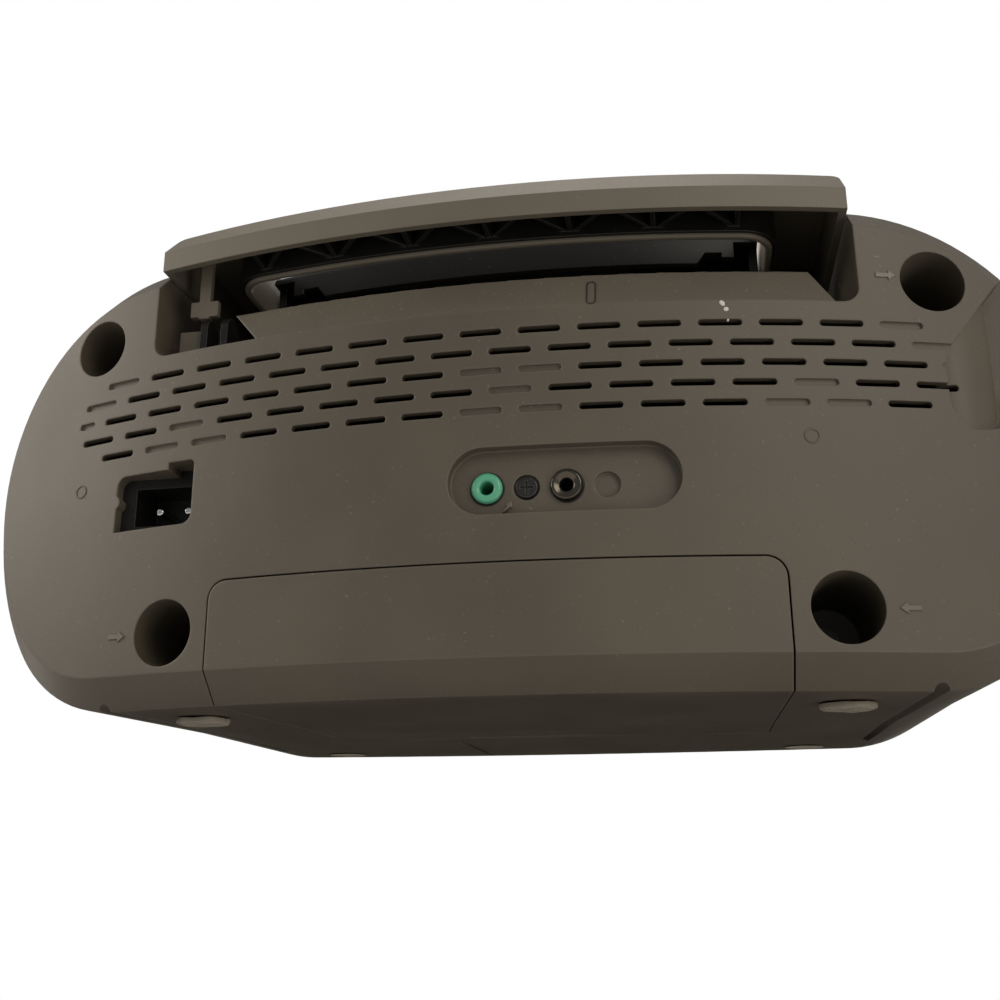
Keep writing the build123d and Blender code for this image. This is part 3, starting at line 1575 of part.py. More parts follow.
rack_line = pinion_y + pinion_pitch_radius
tooth_pitch = 2 * math.pi * pinion_pitch_radius / pinion_teeth
sled_side_y = disc_centre_y - pickup_width / 2
with BuildPart() as pickup_sled:
    with BuildSketch(Plane.XY.offset(pickup_low_z)):
        with Locations((pickup_start, disc_centre_y)):
            Rectangle(pickup_length, pickup_width)
    extrude(amount=pickup_top_z - pickup_low_z)
    with BuildSketch(Plane.YZ.offset(pickup_start - pickup_length)):
        with Locations(*[(y, rod_z) for y in rod_places]):
            Circle(rod_radius + pin_clearance)
    extrude(amount=2 * pickup_length, mode=Mode.SUBTRACT)
    # The rack has a space at the pinion's tooth when the pickup is at its start
    with BuildSketch(Plane.XY.offset(pickup_low_z)):
        with Locations((pickup_start, rack_line + tooth_root)):
            rack_depth = sled_side_y + pin_clearance - rack_line - tooth_root
            Rectangle(11 * tooth_pitch, rack_depth, align=(Align.CENTER, Align.MIN))
        for index in range(11):
            x = pinion_x + (index - 10 + 0.5) * tooth_pitch
            with BuildLine():
                Polyline(
                    (x - tooth_root_width / 2, rack_line + tooth_root + pin_clearance),
                    (x - tooth_tip_width / 2, rack_line - tooth_height),
                    (x + tooth_tip_width / 2, rack_line - tooth_height),
                    (x + tooth_root_width / 2, rack_line + tooth_root + pin_clearance),
                    close=True,
                )
            make_face()
    extrude(amount=pinion_height - 0.4)
finish(pickup_sled, "pickup_sled")

with BuildPart() as pickup_lens:
    with BuildSketch(Plane.XY.offset(pickup_top_z)):
        with Locations((pickup_start, disc_centre_y)):
            Circle(lens_radius)
    extrude(amount=lens_height)
    fillet(pickup_lens.faces().sort_by(Axis.Z)[-1].edges(), 1)
finish(pickup_lens, "pickup_lens")

with BuildPart() as sled_pinion:
    with BuildSketch(Plane.XY.offset(chassis_top + button_gap)):
        with Locations((pinion_x, pinion_y)):
            Circle(pinion_pitch_radius - tooth_root)
        for index in range(pinion_teeth):
            with BuildLine():
                corners = []
                for reach, across in (
                    (-tooth_root - 0.3, -tooth_root_width / 2),
                    (tooth_height, -tooth_tip_width / 2),
                    (tooth_height, tooth_tip_width / 2),
                    (-tooth_root - 0.3, tooth_root_width / 2),
                ):
                    turn = 2 * math.pi * index / pinion_teeth
                    out = pinion_pitch_radius + reach
                    corners.append(
                        (
                            pinion_x + across * math.cos(turn) - out * math.sin(turn),
                            pinion_y + across * math.sin(turn) + out * math.cos(turn),
                        )
                    )
                Polyline(*corners, close=True)
            make_face()
    extrude(amount=pinion_height)
    with BuildSketch(Plane.XY.offset(motor_low_z + 2 * wall)):
        with Locations((pinion_x, pinion_y)):
            Circle(spindle_radius)
    extrude(amount=chassis_top + 2 * button_gap - motor_low_z - 2 * wall)
finish(sled_pinion, "sled_pinion")


def turned(points, depth, x, height):
    """Radius and depth pairs turned about a line square to the leaning front."""
    centre = face_plane(depth, x, height).origin
    with BuildPart() as body:
        with BuildSketch(Plane(centre, x_dir=(1, 0, 0), z_dir=(0, math.sin(lean), math.cos(lean)))):
            with BuildLine():
                Polyline(*points, close=True)
            make_face()
        revolve(axis=Axis(centre, (0, math.cos(lean), -math.sin(lean))))
    return body.part


# Speakers, each with its grille, basket, cone and magnet; right is the +X side
for side, name in ((1, "right"), (-1, "left")):
    with BuildPart() as speaker_grille:
        with BuildSketch(face_plane(0, side * speaker_x, speaker_height)):
            Circle(grille_radius)
        extrude(amount=-speaker_set_back)
        add(leaning_cylinder(lens_set_in), mode=Mode.INTERSECT)
        add(leaning_cylinder(grille_depth), mode=Mode.SUBTRACT)
        with BuildSketch(face_plane(0, side * speaker_x, speaker_height)):
            slot_pitch = grille_slot + grille_bar
            for index in range(-8, 9):
                half_length = math.sqrt((grille_radius - 2 * wall) ** 2 - (index * slot_pitch) ** 2)
                with Locations((0, index * slot_pitch)):
                    Rectangle(2 * half_length, grille_slot)
            Rectangle(grille_bar, 2 * grille_radius, mode=Mode.SUBTRACT)
        extrude(amount=-far, mode=Mode.SUBTRACT)
    finish(speaker_grille, f"speaker_grille_{name}")

    basket = [
        (grille_radius + wall / 2, 0),
        (grille_radius + wall / 2, 2),
        (grille_radius - 2, 2),
        (magnet_radius + 2, speaker_depth - 2),
        (magnet_radius + 2, speaker_depth),
        (cone_neck + 1, speaker_depth),
        (cone_neck + 1, speaker_depth - 2),
        (magnet_radius, speaker_depth - 2),
        (grille_radius - 5, 1),
        (frame_flange_inner, 1),
        (frame_flange_inner, 0),
    ]
    with BuildPart() as speaker_frame:
        add(turned(basket, speaker_set_back, side * speaker_x, speaker_height))
    finish(speaker_frame, f"speaker_frame_{name}")

    cone = [
        (grille_radius - wall - 0.5, -1.2),
        (grille_radius - wall - 0.5, 0),
        (cone_outer, 0),
        (cone_neck, cone_depth + paper),
        (0, cone_depth - 4),
        (0, cone_depth - 4 - paper),
        (cone_neck, cone_depth - paper),
        (cone_outer, -1.2),
        (cone_outer + 3.5, -2.6),
    ]
    with BuildPart() as speaker_cone:
        add(turned(cone, speaker_set_back, side * speaker_x, speaker_height))
    finish(speaker_cone, f"speaker_cone_{name}")

    magnet = [(0, 0), (magnet_radius, 0), (magnet_radius, magnet_length), (0, magnet_length)]
    with BuildPart() as speaker_magnet:
        add(turned(magnet, speaker_set_back + speaker_depth, side * speaker_x, speaker_height))
    finish(speaker_magnet, f"speaker_magnet_{name}")

# Display, control board, buttons and knobs
with BuildPart() as display_lens:
    with BuildSketch(face_plane(lens_set_in, 0, 0)):
        with Locations((0, display_centre)):
            RectangleRounded(display_width - grille_gap, display_height - grille_gap, 2)
    extrude(amount=lens_set_in - flange_depth)
finish(display_lens, "display_lens")

with BuildPart() as display_module:
    with BuildSketch(face_plane(flange_depth)):
        with Locations((0, display_centre)):
            Rectangle(display_width + 4, display_height + 4)
    extrude(amount=flange_depth - board_set_back)
finish(display_module, "display_module")

with BuildPart() as control_board:
    with BuildSketch(face_plane(board_set_back)):
        with Locations((0, (board_low + board_high) / 2)):
            Rectangle(2 * board_post_x + 6, board_high - board_low)
    extrude(amount=-board_thickness)
    with BuildSketch(face_plane(pot_front)):
        with Locations((-knob_x, knob_centre), (knob_x, knob_centre)):
            Circle(pot_radius)
            Circle(knob_shaft_radius + pin_clearance, mode=Mode.SUBTRACT)
        with Locations((0, switch_centre)):
            Rectangle(switch_body_width, switch_body_height)
    extrude(amount=pot_front - board_set_back)
    with BuildSketch(face_plane(pot_front)):
        with Locations((0, switch_centre)):
            Rectangle(2 * switch_travel + 5, 3.2)
    extrude(amount=-3, mode=Mode.SUBTRACT)
finish(control_board, "control_board")

button_names = ("back_button", "play_button", "stop_button", "forward_button")
for index, name in enumerate(button_names):
    x = (index - 1.5) * button_pitch
    with BuildPart() as button:
        with BuildSketch(face_plane(-button_stand)):
            with Locations((x, button_row)):
                RectangleRounded(button_width, button_height, 2)
        extrude(amount=-button_stand - flange_depth - flange_thickness)
        fillet(button.faces().sort_by(Axis.Y)[0].edges(), 0.6)
        with BuildSketch(face_plane(flange_depth)):
            with Locations((x, button_row)):
                Rectangle(button_width + 2 * flange_extra, button_height + 2 * flange_extra)
        extrude(amount=-flange_thickness)
        with BuildSketch(face_plane(flange_depth)):
            with Locations((x, button_row)):
                Circle(stem_radius)
        extrude(amount=flange_depth - stem_end)
    finish(button, name)

power_profile = [
    (0, -button_stand),
    (power_radius - 0.6, -button_stand),
    (power_radius, 0.6 - button_stand),
    (power_radius, flange_depth),
    (power_radius + flange_extra, flange_depth),
    (power_radius + flange_extra, flange_depth + flange_thickness),
    (stem_radius, flange_depth + flange_thickness),
    (stem_radius, stem_end),
    (0, stem_end),
]
with BuildPart() as power_button:
    add(turned(power_profile, 0, 0, power_centre))
finish(power_button, "power_button")

knob_profile = [
    (0, -knob_gap - knob_stand),
    (knob_radius - 2, -knob_gap - knob_stand),
    (knob_radius - 0.8, 1 - knob_gap - knob_stand),
    (knob_radius, -knob_gap),
    (knob_shaft_radius, -knob_gap),
    (knob_shaft_radius, stem_end),
    (0, stem_end),
]
for side, name in ((-1, "volume_knob"), (1, "tuning_knob")):
    with BuildPart() as knob:
        add(turned(knob_profile, 0, side * knob_x, knob_centre))
        with BuildSketch(face_plane(-knob_gap - knob_stand, side * knob_x, knob_centre)):
            with Locations((0, knob_radius / 2)):
                Rectangle(1.4, knob_radius - 3)
        extrude(amount=-0.6, mode=Mode.SUBTRACT)
    finish(knob, name)

with BuildPart() as band_switch:
    with BuildSketch(face_plane(-button_stand)):
        with Locations((0, switch_centre)):
            Rectangle(switch_width, switch_height)
    extrude(amount=-button_stand - flange_depth)
    with BuildSketch(face_plane(flange_depth)):
        with Locations((0, switch_centre)):
            Rectangle(2 * (switch_width + switch_travel), switch_height + 3)
    extrude(amount=-flange_thickness)
    with BuildSketch(face_plane(flange_depth + flange_thickness)):
        with Locations((0, switch_centre)):
            Rectangle(3, 2.6)
    extrude(amount=-3)
finish(band_switch, "band_switch")
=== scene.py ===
# %% [markdown]
# # A portable CD player, seen from the back
# The solids come from the CAD build and are loaded as a fixed frame. This file gives them
# their finishes, adds small marks and trim, and sets a camera and a soft studio light.

# %% Load the frame
import json
import math
import bmesh
import bpy
from mathutils import Matrix, Vector


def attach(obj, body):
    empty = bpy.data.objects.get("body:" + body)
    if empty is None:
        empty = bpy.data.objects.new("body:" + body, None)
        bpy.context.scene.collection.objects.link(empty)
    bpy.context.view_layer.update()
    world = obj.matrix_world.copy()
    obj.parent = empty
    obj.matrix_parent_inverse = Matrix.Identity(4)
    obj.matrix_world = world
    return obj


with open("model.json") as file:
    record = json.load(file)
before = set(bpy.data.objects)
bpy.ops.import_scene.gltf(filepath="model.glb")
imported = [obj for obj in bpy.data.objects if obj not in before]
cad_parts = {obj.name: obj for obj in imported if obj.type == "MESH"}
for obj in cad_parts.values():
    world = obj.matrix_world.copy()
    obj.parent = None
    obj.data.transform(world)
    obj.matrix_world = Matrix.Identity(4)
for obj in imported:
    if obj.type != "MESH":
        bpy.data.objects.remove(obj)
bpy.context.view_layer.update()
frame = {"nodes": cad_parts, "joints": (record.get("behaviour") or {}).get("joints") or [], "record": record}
nodes = frame["nodes"]

# %% [markdown]
# The camera stands low behind the player and looks up at it, so the underside shows.
# Its place and lens were fitted to the photograph from the cabinet's known outline.

# %% Camera
camera_place = Vector((-0.0511, 0.3745, -0.0297))
camera_forward = Vector((0.163, -0.945, 0.282)).normalized()
camera_up = Vector((-0.054, 0.277, 0.959))
camera_right = camera_forward.cross(camera_up).normalized()
camera_up = camera_right.cross(camera_forward).normalized()
camera_data = bpy.data.cameras.new("camera")
camera_data.sensor_width = 36
camera_data.lens = 40.61
camera_data.clip_start = 0.01
print("lens:", camera_data.lens, "mm at", tuple(camera_place))
camera = bpy.data.objects.new("camera", camera_data)
turn = Matrix((camera_right, camera_up, -camera_forward)).transposed()
camera.matrix_world = Matrix.Translation(camera_place) @ turn.to_4x4()
bpy.context.scene.collection.objects.link(camera)
bpy.context.scene.camera = camera

# %% [markdown]
# Colours are written as sRGB hex values, as a paint chart gives them. Shaders count in
# linear light, so one function turns them. A second small function adds a shader node,
# fills its sockets and draws its links, and every material below is made with it.

# %% Helpers for materials
def linear(hex_colour):
    channels = []
    for start in (1, 3, 5):
        value = int(hex_colour[start : start + 2], 16) / 255
        channels.append(value / 12.92 if value <= 0.04045 else ((value + 0.055) / 1.055) ** 2.4)
    return (*channels, 1)


def add_node(material, kind, settings=None, sockets=None):
    """Adds a node. A socket takes a value, or a (node, output) pair to link."""
    made = material.node_tree.nodes.new(kind)
    for name, value in (settings or {}).items():
        setattr(made, name, value)
    for name, value in (sockets or {}).items():
        if isinstance(value, tuple) and isinstance(value[0], bpy.types.Node):
            material.node_tree.links.new(value[0].outputs[value[1]], made.inputs[name])
        else:
            made.inputs[name].default_value = value
    return made


def new_material(name):
    material = bpy.data.materials.new(name)
    material.use_nodes = True
    material.node_tree.nodes.clear()
    return material


def per_metre(millimetres):
    """Noise scale for a pattern that repeats about every so many millimetres."""
    return 1000 / millimetres


# %% [markdown]
# ## Light
# The world is a soft, even sky. One lamp stands to the left of the picture, and the
# rounded left end of the back catches it. One hangs overhead for the handle, where
# the grip keeps it off the sill below. The low one, under the level of the floor, is
# what a pale table would throw back at the lower edge. The others fill the back and
# light the front. The background is white to the camera and grey in reflections, and the
# Standard view transform keeps a colour as it is written.

# %% World and lamps
bpy.context.scene.view_settings.view_transform = "Standard"
world = bpy.data.worlds.new("soft_studio")
bpy.context.scene.world = world
world.use_nodes = True
world.node_tree.nodes.clear()
path = add_node(world, "ShaderNodeLightPath")
seen = add_node(world, "ShaderNodeMath", {"operation": "MAXIMUM"},
                {0: (path, "Is Camera Ray"), 1: (path, "Is Transmission Ray")})
seen_or_mirrored = add_node(world, "ShaderNodeMath", {"operation": "MAXIMUM"},
                            {0: (seen, "Value"), 1: (path, "Is Glossy Ray")})
light_air = add_node(world, "ShaderNodeBackground", None,
                     {"Color": linear("#f4f1ec"), "Strength": 0.44})
white_air = add_node(world, "ShaderNodeBackground", None,
                     {"Color": (1, 1, 1, 1), "Strength": 1.0})
mirror_air = add_node(world, "ShaderNodeBackground", None,
                      {"Color": (1, 1, 1, 1), "Strength": 0.27})
white_or_mirror = add_node(world, "ShaderNodeMixShader", None,
                           {0: (seen, "Value"), 1: (mirror_air, 0), 2: (white_air, 0)})
air = add_node(world, "ShaderNodeMixShader", None,
               {0: (seen_or_mirrored, "Value"), 1: (light_air, 0), 2: (white_or_mirror, 0)})
add_node(world, "ShaderNodeOutputWorld", None, {"Surface": (air, 0)})

look_at = Vector((0, 0, 0.07))
# Name, place in metres, size in metres, power in watts
lamp_places = (
    ("left_lamp", (1.1, 0.3, 0.55), 0.6, 5.6),
    ("back_lamp", (-0.65, 0.85, 0.6), 0.6, 3.2),
    ("top_lamp", (0.05, -0.2, 1.4), 0.8, 3.8),
    ("front_lamp", (0.2, -1.1, 0.7), 0.9, 8.0),
    ("low_lamp", (-0.9, 0.75, -0.4), 0.5, 2.2),
)
for name, place, size, power in lamp_places:
    lamp_data = bpy.data.lights.new(name, "AREA")
    lamp_data.size = size
    lamp_data.energy = power
    lamp_data.color = linear("#fff6ea")[:3]
    lamp = bpy.data.objects.new(name, lamp_data)
    lamp.location = place
    lamp.rotation_euler = (look_at - Vector(place)).to_track_quat("-Z", "Y").to_euler()
    bpy.context.scene.collection.objects.link(lamp)
print("lamps:", [name for name, *_ in lamp_places])

# %% [markdown]
# ## Floor
# The floor is a pale sheet that takes the player's shadow. The camera stands below its
# level, so the sheet lets light and sight through from underneath. Far from the player
# the sheet fades into the white of the background, so that no horizon shows.

# %% Floor
floor_mesh = bpy.data.meshes.new("floor")
reach = 3.0
floor_mesh.from_pydata(
    [(-reach, -reach, 0), (reach, -reach, 0), (reach, reach, 0), (-reach, reach, 0)],
    [], [(0, 1, 2, 3)])
floor = bpy.data.objects.new("floor", floor_mesh)
bpy.context.scene.collection.objects.link(floor)
paper = new_material("pale_paper")
path = add_node(paper, "ShaderNodeLightPath")
sheet_side = add_node(paper, "ShaderNodeNewGeometry")
light_ray = add_node(paper, "ShaderNodeMath", {"operation": "MAXIMUM"},
                     {0: (path, "Is Shadow Ray"), 1: (path, "Is Diffuse Ray")})
open_side = add_node(paper, "ShaderNodeMath", {"operation": "MAXIMUM"},
                     {0: (sheet_side, "Backfacing"), 1: (light_ray, "Value")})
lit_sheet = add_node(paper, "ShaderNodeBsdfDiffuse", None, {"Color": linear("#eeeeee")})
white_sheet = add_node(paper, "ShaderNodeEmission", None, {"Color": (1, 1, 1, 1), "Strength": 1.0})
spot = add_node(paper, "ShaderNodeTexCoord")
distance = add_node(paper, "ShaderNodeVectorMath", {"operation": "LENGTH"},
                    {0: (spot, "Object")})
far = add_node(paper, "ShaderNodeMapRange", {"interpolation_type": "SMOOTHSTEP"},
               {"Value": (distance, "Value"), "From Min": 0.35, "From Max": 1.0})
far_and_seen = add_node(paper, "ShaderNodeMath", {"operation": "MULTIPLY"},
                        {0: (far, "Result"), 1: (path, "Is Camera Ray")})
sheet = add_node(paper, "ShaderNodeMixShader", None,
                 {0: (far_and_seen, "Value"), 1: (lit_sheet, 0), 2: (white_sheet, 0)})
clear = add_node(paper, "ShaderNodeBsdfTransparent")
mixed = add_node(paper, "ShaderNodeMixShader", None,
                 {0: (open_side, "Value"), 1: (sheet, 0), 2: (clear, 0)})
add_node(paper, "ShaderNodeOutputMaterial", None, {"Surface": (mixed, 0)})
floor_mesh.materials.append(paper)
print("floor:", 2 * reach, "m wide")

# %% [markdown]
# ## Moulded plastic
# The cabinet is ABS, moulded in a tool whose walls were spark eroded. That leaves a fine
# even grain, drawn here at half a millimetre so that it shows, which breaks up reflections
# and makes the surface matt. ABS has an IOR of about 1.54. Slight differences in gloss, a few
# grains of dust, keep it from looking like paint on a screen. Every moulded edge is a
# little round, which the Bevel node shows without more faces. Those edges are painted paler,
# partly for wear from handling and partly as a painted highlight along the rounded edge.
# Where the rounded normal leaves the flat one, the surface is an edge.
# Acetal, lacquer and blackened steel are finished the same way, with their own values.

# %% Moulded plastics
def moulded_plastic(name, colour, shade, roughness, grain_mm, grain_depth_mm, dust=0.0,
                    edge_mm=0.35, rub_and_highlight=0.12, shine=0.5):
    """Spark-eroded or polished ABS: grain, changes of gloss and tone, dust, and edges painted paler, partly
    for wear and partly as a painted highlight.
    """
    material = new_material(name)
    place = add_node(material, "ShaderNodeTexCoord")
    patches = add_node(material, "ShaderNodeTexNoise", None,
                       {"Vector": (place, "Object"), "Scale": per_metre(40), "Detail": 3.0})
    tone = add_node(material, "ShaderNodeValToRGB", None, {"Fac": (patches, "Fac")})
    tone.color_ramp.elements[0].position = 0.3
    tone.color_ramp.elements[0].color = linear(shade)
    tone.color_ramp.elements[1].position = 0.7
    tone.color_ramp.elements[1].color = linear(colour)
    specks = add_node(material, "ShaderNodeTexNoise", None,
                      {"Vector": (place, "Object"), "Scale": per_metre(0.9), "Detail": 2.0})
    flat = add_node(material, "ShaderNodeNewGeometry")
    facing = add_node(material, "ShaderNodeSeparateXYZ", None, {"Vector": (flat, "Normal")})
    # Dust settles where a face looks up, so there more of the specks pass the threshold
    settled = add_node(material, "ShaderNodeMapRange", {"clamp": True},
                       {"Value": (facing, "Z"), "From Min": -0.2, "From Max": 0.9,
                        "To Min": 0.71, "To Max": 0.60})
    above = add_node(material, "ShaderNodeMath", {"operation": "SUBTRACT"},
                     {0: (specks, "Fac"), 1: (settled, "Result")})
    sparse = add_node(material, "ShaderNodeMapRange", {"clamp": True},
                      {"Value": (above, "Value"), "From Min": 0.0, "From Max": 0.08,
                       "To Min": 0.0, "To Max": dust})
    dusty = add_node(material, "ShaderNodeMixRGB", None,
                     {"Fac": (sparse, "Result"), "Color1": (tone, "Color"),
                      "Color2": linear("#b8b2a8")})
    rounded = add_node(material, "ShaderNodeBevel", {"samples": 4}, {"Radius": edge_mm / 1000})
    agree = add_node(material, "ShaderNodeVectorMath", {"operation": "DOT_PRODUCT"},
                     {0: (rounded, "Normal"), 1: (flat, "Normal")})
    # Rounded edges are painted paler: partly wear from handling, partly a painted highlight
    rubbed_and_highlit = add_node(material, "ShaderNodeMapRange", {"clamp": True},
                      {"Value": (agree, "Value"), "From Min": 1.0, "From Max": 0.85,
                       "To Min": 0.0, "To Max": rub_and_highlight})
    worn_and_highlit = add_node(material, "ShaderNodeMixRGB", None,
                    {"Fac": (rubbed_and_highlit, "Result"), "Color1": (dusty, "Color"),
                     "Color2": linear("#b5aea2")})
    gloss = add_node(material, "ShaderNodeMapRange", None,
                     {"Value": (patches, "Fac"), "From Min": 0.3, "From Max": 0.7,
                      "To Min": roughness - 0.04, "To Max": roughness + 0.04})
    grain = add_node(material, "ShaderNodeTexNoise", None,
                     {"Vector": (place, "Object"), "Scale": per_metre(grain_mm), "Detail": 2.0})
    bumps = add_node(material, "ShaderNodeBump", None,
                     {"Height": (grain, "Fac"), "Strength": 1.0,
                      "Distance": grain_depth_mm / 1000, "Normal": (rounded, "Normal")})
    surface = add_node(material, "ShaderNodeBsdfPrincipled", None,
                       {"Base Color": (worn_and_highlit, "Color"), "Roughness": (gloss, "Result"),
                        "Normal": (bumps, "Normal"), "IOR": 1.54,
                        "Specular IOR Level": shine})
    add_node(material, "ShaderNodeOutputMaterial", None, {"Surface": (surface, "BSDF")})
    return material


finishes = {
    # The cabinet's paler edges are partly a painted highlight along its rounded edges
    "cabinet_plastic": moulded_plastic(
        "cabinet_grained_abs", "#5c5548", "#544d42", 0.50, 0.45, 0.035, 0.2, edge_mm=0.7, rub_and_highlight=0.18),
    "handle_plastic": moulded_plastic(
        "handle_grained_abs", "#6d6659", "#665f53", 0.52, 0.45, 0.03, 0.15),
    "lid_plastic": moulded_plastic("lid_satin_abs", "#544d44", "#4d473f", 0.40, 0.6, 0.02, 0.1),
    "black_plastic": moulded_plastic(
        "black_satin_abs", "#191918", "#141413", 0.36, 0.8, 0.012, 0.12, shine=0.3),
    "green_plastic": moulded_plastic("green_socket_abs", "#62b794", "#59ad8a", 0.24, 0.6, 0.006),
    "white_plastic": moulded_plastic("white_acetal", "#d9d7cf", "#cfccc3", 0.38, 0.6, 0.01),
    "button_plastic": moulded_plastic(
        "button_satin_abs", "#8f897e", "#878176", 0.38, 0.5, 0.015, 0.05),
}
print("plastics:", sorted(finishes))

# %% [markdown]
# ## Metals
# Screws, rods and motor cans are bright drawn or zinc-plated steel; fine lines run along
# the drawing direction. The antenna and the mains pins are plated and polished. A metal
# keeps the shader's default IOR, because its colour already says how it reflects.

# %% Metals
def metal(name, colour, roughness, line_mm, line_depth_mm, stretch=(1, 1, 1)):
    """Drawn, plated or sintered metal: lines that change its gloss and relief."""
    material = new_material(name)
    place = add_node(material, "ShaderNodeTexCoord")
    along = add_node(material, "ShaderNodeMapping", None,
                     {"Vector": (place, "Object"), "Scale": stretch})
    lines = add_node(material, "ShaderNodeTexNoise", None,
                     {"Vector": (along, "Vector"), "Scale": per_metre(line_mm), "Detail": 3.0})
    gloss = add_node(material, "ShaderNodeMapRange", None,
                     {"Value": (lines, "Fac"),
                      "To Min": roughness - 0.05, "To Max": roughness + 0.1})
    bumps = add_node(material, "ShaderNodeBump", None,
                     {"Height": (lines, "Fac"), "Strength": 1.0,
                      "Distance": line_depth_mm / 1000})
    surface = add_node(material, "ShaderNodeBsdfPrincipled", None,
                       {"Base Color": linear(colour), "Metallic": 1.0,
                        "Roughness": (gloss, "Result"), "Normal": (bumps, "Normal")})
    add_node(material, "ShaderNodeOutputMaterial", None, {"Surface": (surface, "BSDF")})
    return material


finishes["steel"] = metal("drawn_steel", "#a7a5a0", 0.32, 0.8, 0.004, (1, 1, 6))
finishes["chrome"] = metal("polished_chrome", "#d6d6d8", 0.10, 3.0, 0.001)
finishes["black_steel"] = moulded_plastic(
    "blackened_steel", "#262321", "#1b1918", 0.28, 0.7, 0.01, 0.05, edge_mm=0.2, rub_and_highlight=0.5)
finishes["transformer_iron"] = metal("laminated_iron", "#4a4947", 0.5, 0.7, 0.02, (0.05, 0.05, 1))
finishes["ferrite"] = metal("sintered_ferrite", "#2d2d30", 0.6, 1.2, 0.02)
finishes["grille_metal"] = moulded_plastic(
    "grille_lacquer", "#1d1c1b", "#191817", 0.36, 0.6, 0.01)
print("finishes with the metals:", len(finishes))

# %% [markdown]
# ## Clear plastic, silicone, paper and boards
# The lid's window and the display's lens are smoked polycarbonate, which lets some light
# through. The feet are cast silicone pads, cloudy and wet-looking, and they have slumped
# into lumps, so a slow bump breaks up their highlights. The cones are pressed paper pulp,
# and the boards are glass-epoxy laminate under a green lacquer.

# %% Other finishes
def clear_plastic(name, colour, roughness, ior):
    """Polycarbonate or glass that lets light through, with a slight haze."""
    material = new_material(name)
    place = add_node(material, "ShaderNodeTexCoord")
    haze = add_node(material, "ShaderNodeTexNoise", None,
                    {"Vector": (place, "Object"), "Scale": per_metre(15), "Detail": 2.0})
    gloss = add_node(material, "ShaderNodeMapRange", None,
                     {"Value": (haze, "Fac"), "To Min": roughness, "To Max": roughness + 0.05})
    surface = add_node(material, "ShaderNodeBsdfPrincipled", None,
                       {"Base Color": linear(colour), "Roughness": (gloss, "Result"),
                        "Transmission Weight": 0.9, "IOR": ior})
    add_node(material, "ShaderNodeOutputMaterial", None, {"Surface": (surface, "BSDF")})
    return material


def soft_gel(name, colour, roughness, lump_mm, lump_height_mm):
    """Cast silicone: cloudy gloss over slow lumps, and a little light through it."""
    material = new_material(name)
    place = add_node(material, "ShaderNodeTexCoord")
    lumps = add_node(material, "ShaderNodeTexNoise", None,
                     {"Vector": (place, "Object"), "Scale": per_metre(lump_mm), "Detail": 1.0})
    cloud = add_node(material, "ShaderNodeMapRange", None,
                     {"Value": (lumps, "Fac"), "To Min": roughness, "To Max": roughness + 0.2})
    bumps = add_node(material, "ShaderNodeBump", None,
                     {"Height": (lumps, "Fac"), "Strength": 1.0,
                      "Distance": lump_height_mm / 1000})
    surface = add_node(material, "ShaderNodeBsdfPrincipled", None,
                       {"Base Color": linear(colour), "Roughness": (cloud, "Result"),
                        "Normal": (bumps, "Normal"), "Transmission Weight": 0.25, "IOR": 1.41})
    add_node(material, "ShaderNodeOutputMaterial", None, {"Surface": (surface, "BSDF")})
    return material


finishes["smoked_plastic"] = clear_plastic("smoked_polycarbonate", "#6a645c", 0.04, 1.585)
finishes["clear_lens"] = clear_plastic("pickup_glass", "#b9c6e6", 0.02, 1.52)
finishes["rubber"] = soft_gel("silicone_foot_pad", "#a89f91", 0.10, 3.5, 0.9)
finishes["paper_cone"] = moulded_plastic(
    "pressed_paper_pulp", "#1c1a18", "#141311", 0.8, 0.7, 0.08)

board = new_material("green_epoxy_laminate")
place = add_node(board, "ShaderNodeTexCoord")
# Copper tracks about 3 mm apart shine faintly through the lacquer
tracks = add_node(board, "ShaderNodeTexVoronoi", {"distance": "CHEBYCHEV"},
                  {"Vector": (place, "Object"), "Scale": per_metre(3.0)})
track_tone = add_node(board, "ShaderNodeValToRGB", None, {"Fac": (tracks, "Distance")})
track_tone.color_ramp.elements[0].color = linear("#1d5a33")
track_tone.color_ramp.elements[1].color = linear("#123d22")
surface = add_node(board, "ShaderNodeBsdfPrincipled", None,
                   {"Base Color": (track_tone, "Color"), "Roughness": 0.3, "IOR": 1.55})
add_node(board, "ShaderNodeOutputMaterial", None, {"Surface": (surface, "BSDF")})
finishes["circuit_board"] = board
print("finishes:", len(finishes))

# %% [markdown]
# Every node takes the finish that the record names for its slot. The mesh of a CAD node
# is never changed, so only its material slots are filled. The cabinet's screws sit at the
# bottom of deep wells, and they take the blackened steel finish as painted shade for the
# dark well floors, so their heads don't shine there.

# %% Give the nodes their finishes
for row in frame["record"]["subparts"]:
    shown = nodes[row["node"]]
    shown.data.materials.clear()
    shown.data.materials.append(finishes[row["material_slot"]])
# Painted shade: the screws in the deep wells are drawn black for the shade at the well floors
nodes["cabinet_screws"].data.materials[0] = finishes["black_steel"]

# %% [markdown]
# ## Slumped feet
# The silicone pads have flowed with the years, so their faces are lumpy and their rims
# round. Three modifiers show that and leave the CAD mesh alone: a voxel remesh gives the
# flat discs enough points, a displacement pulls these in, and smoothing rounds them off.

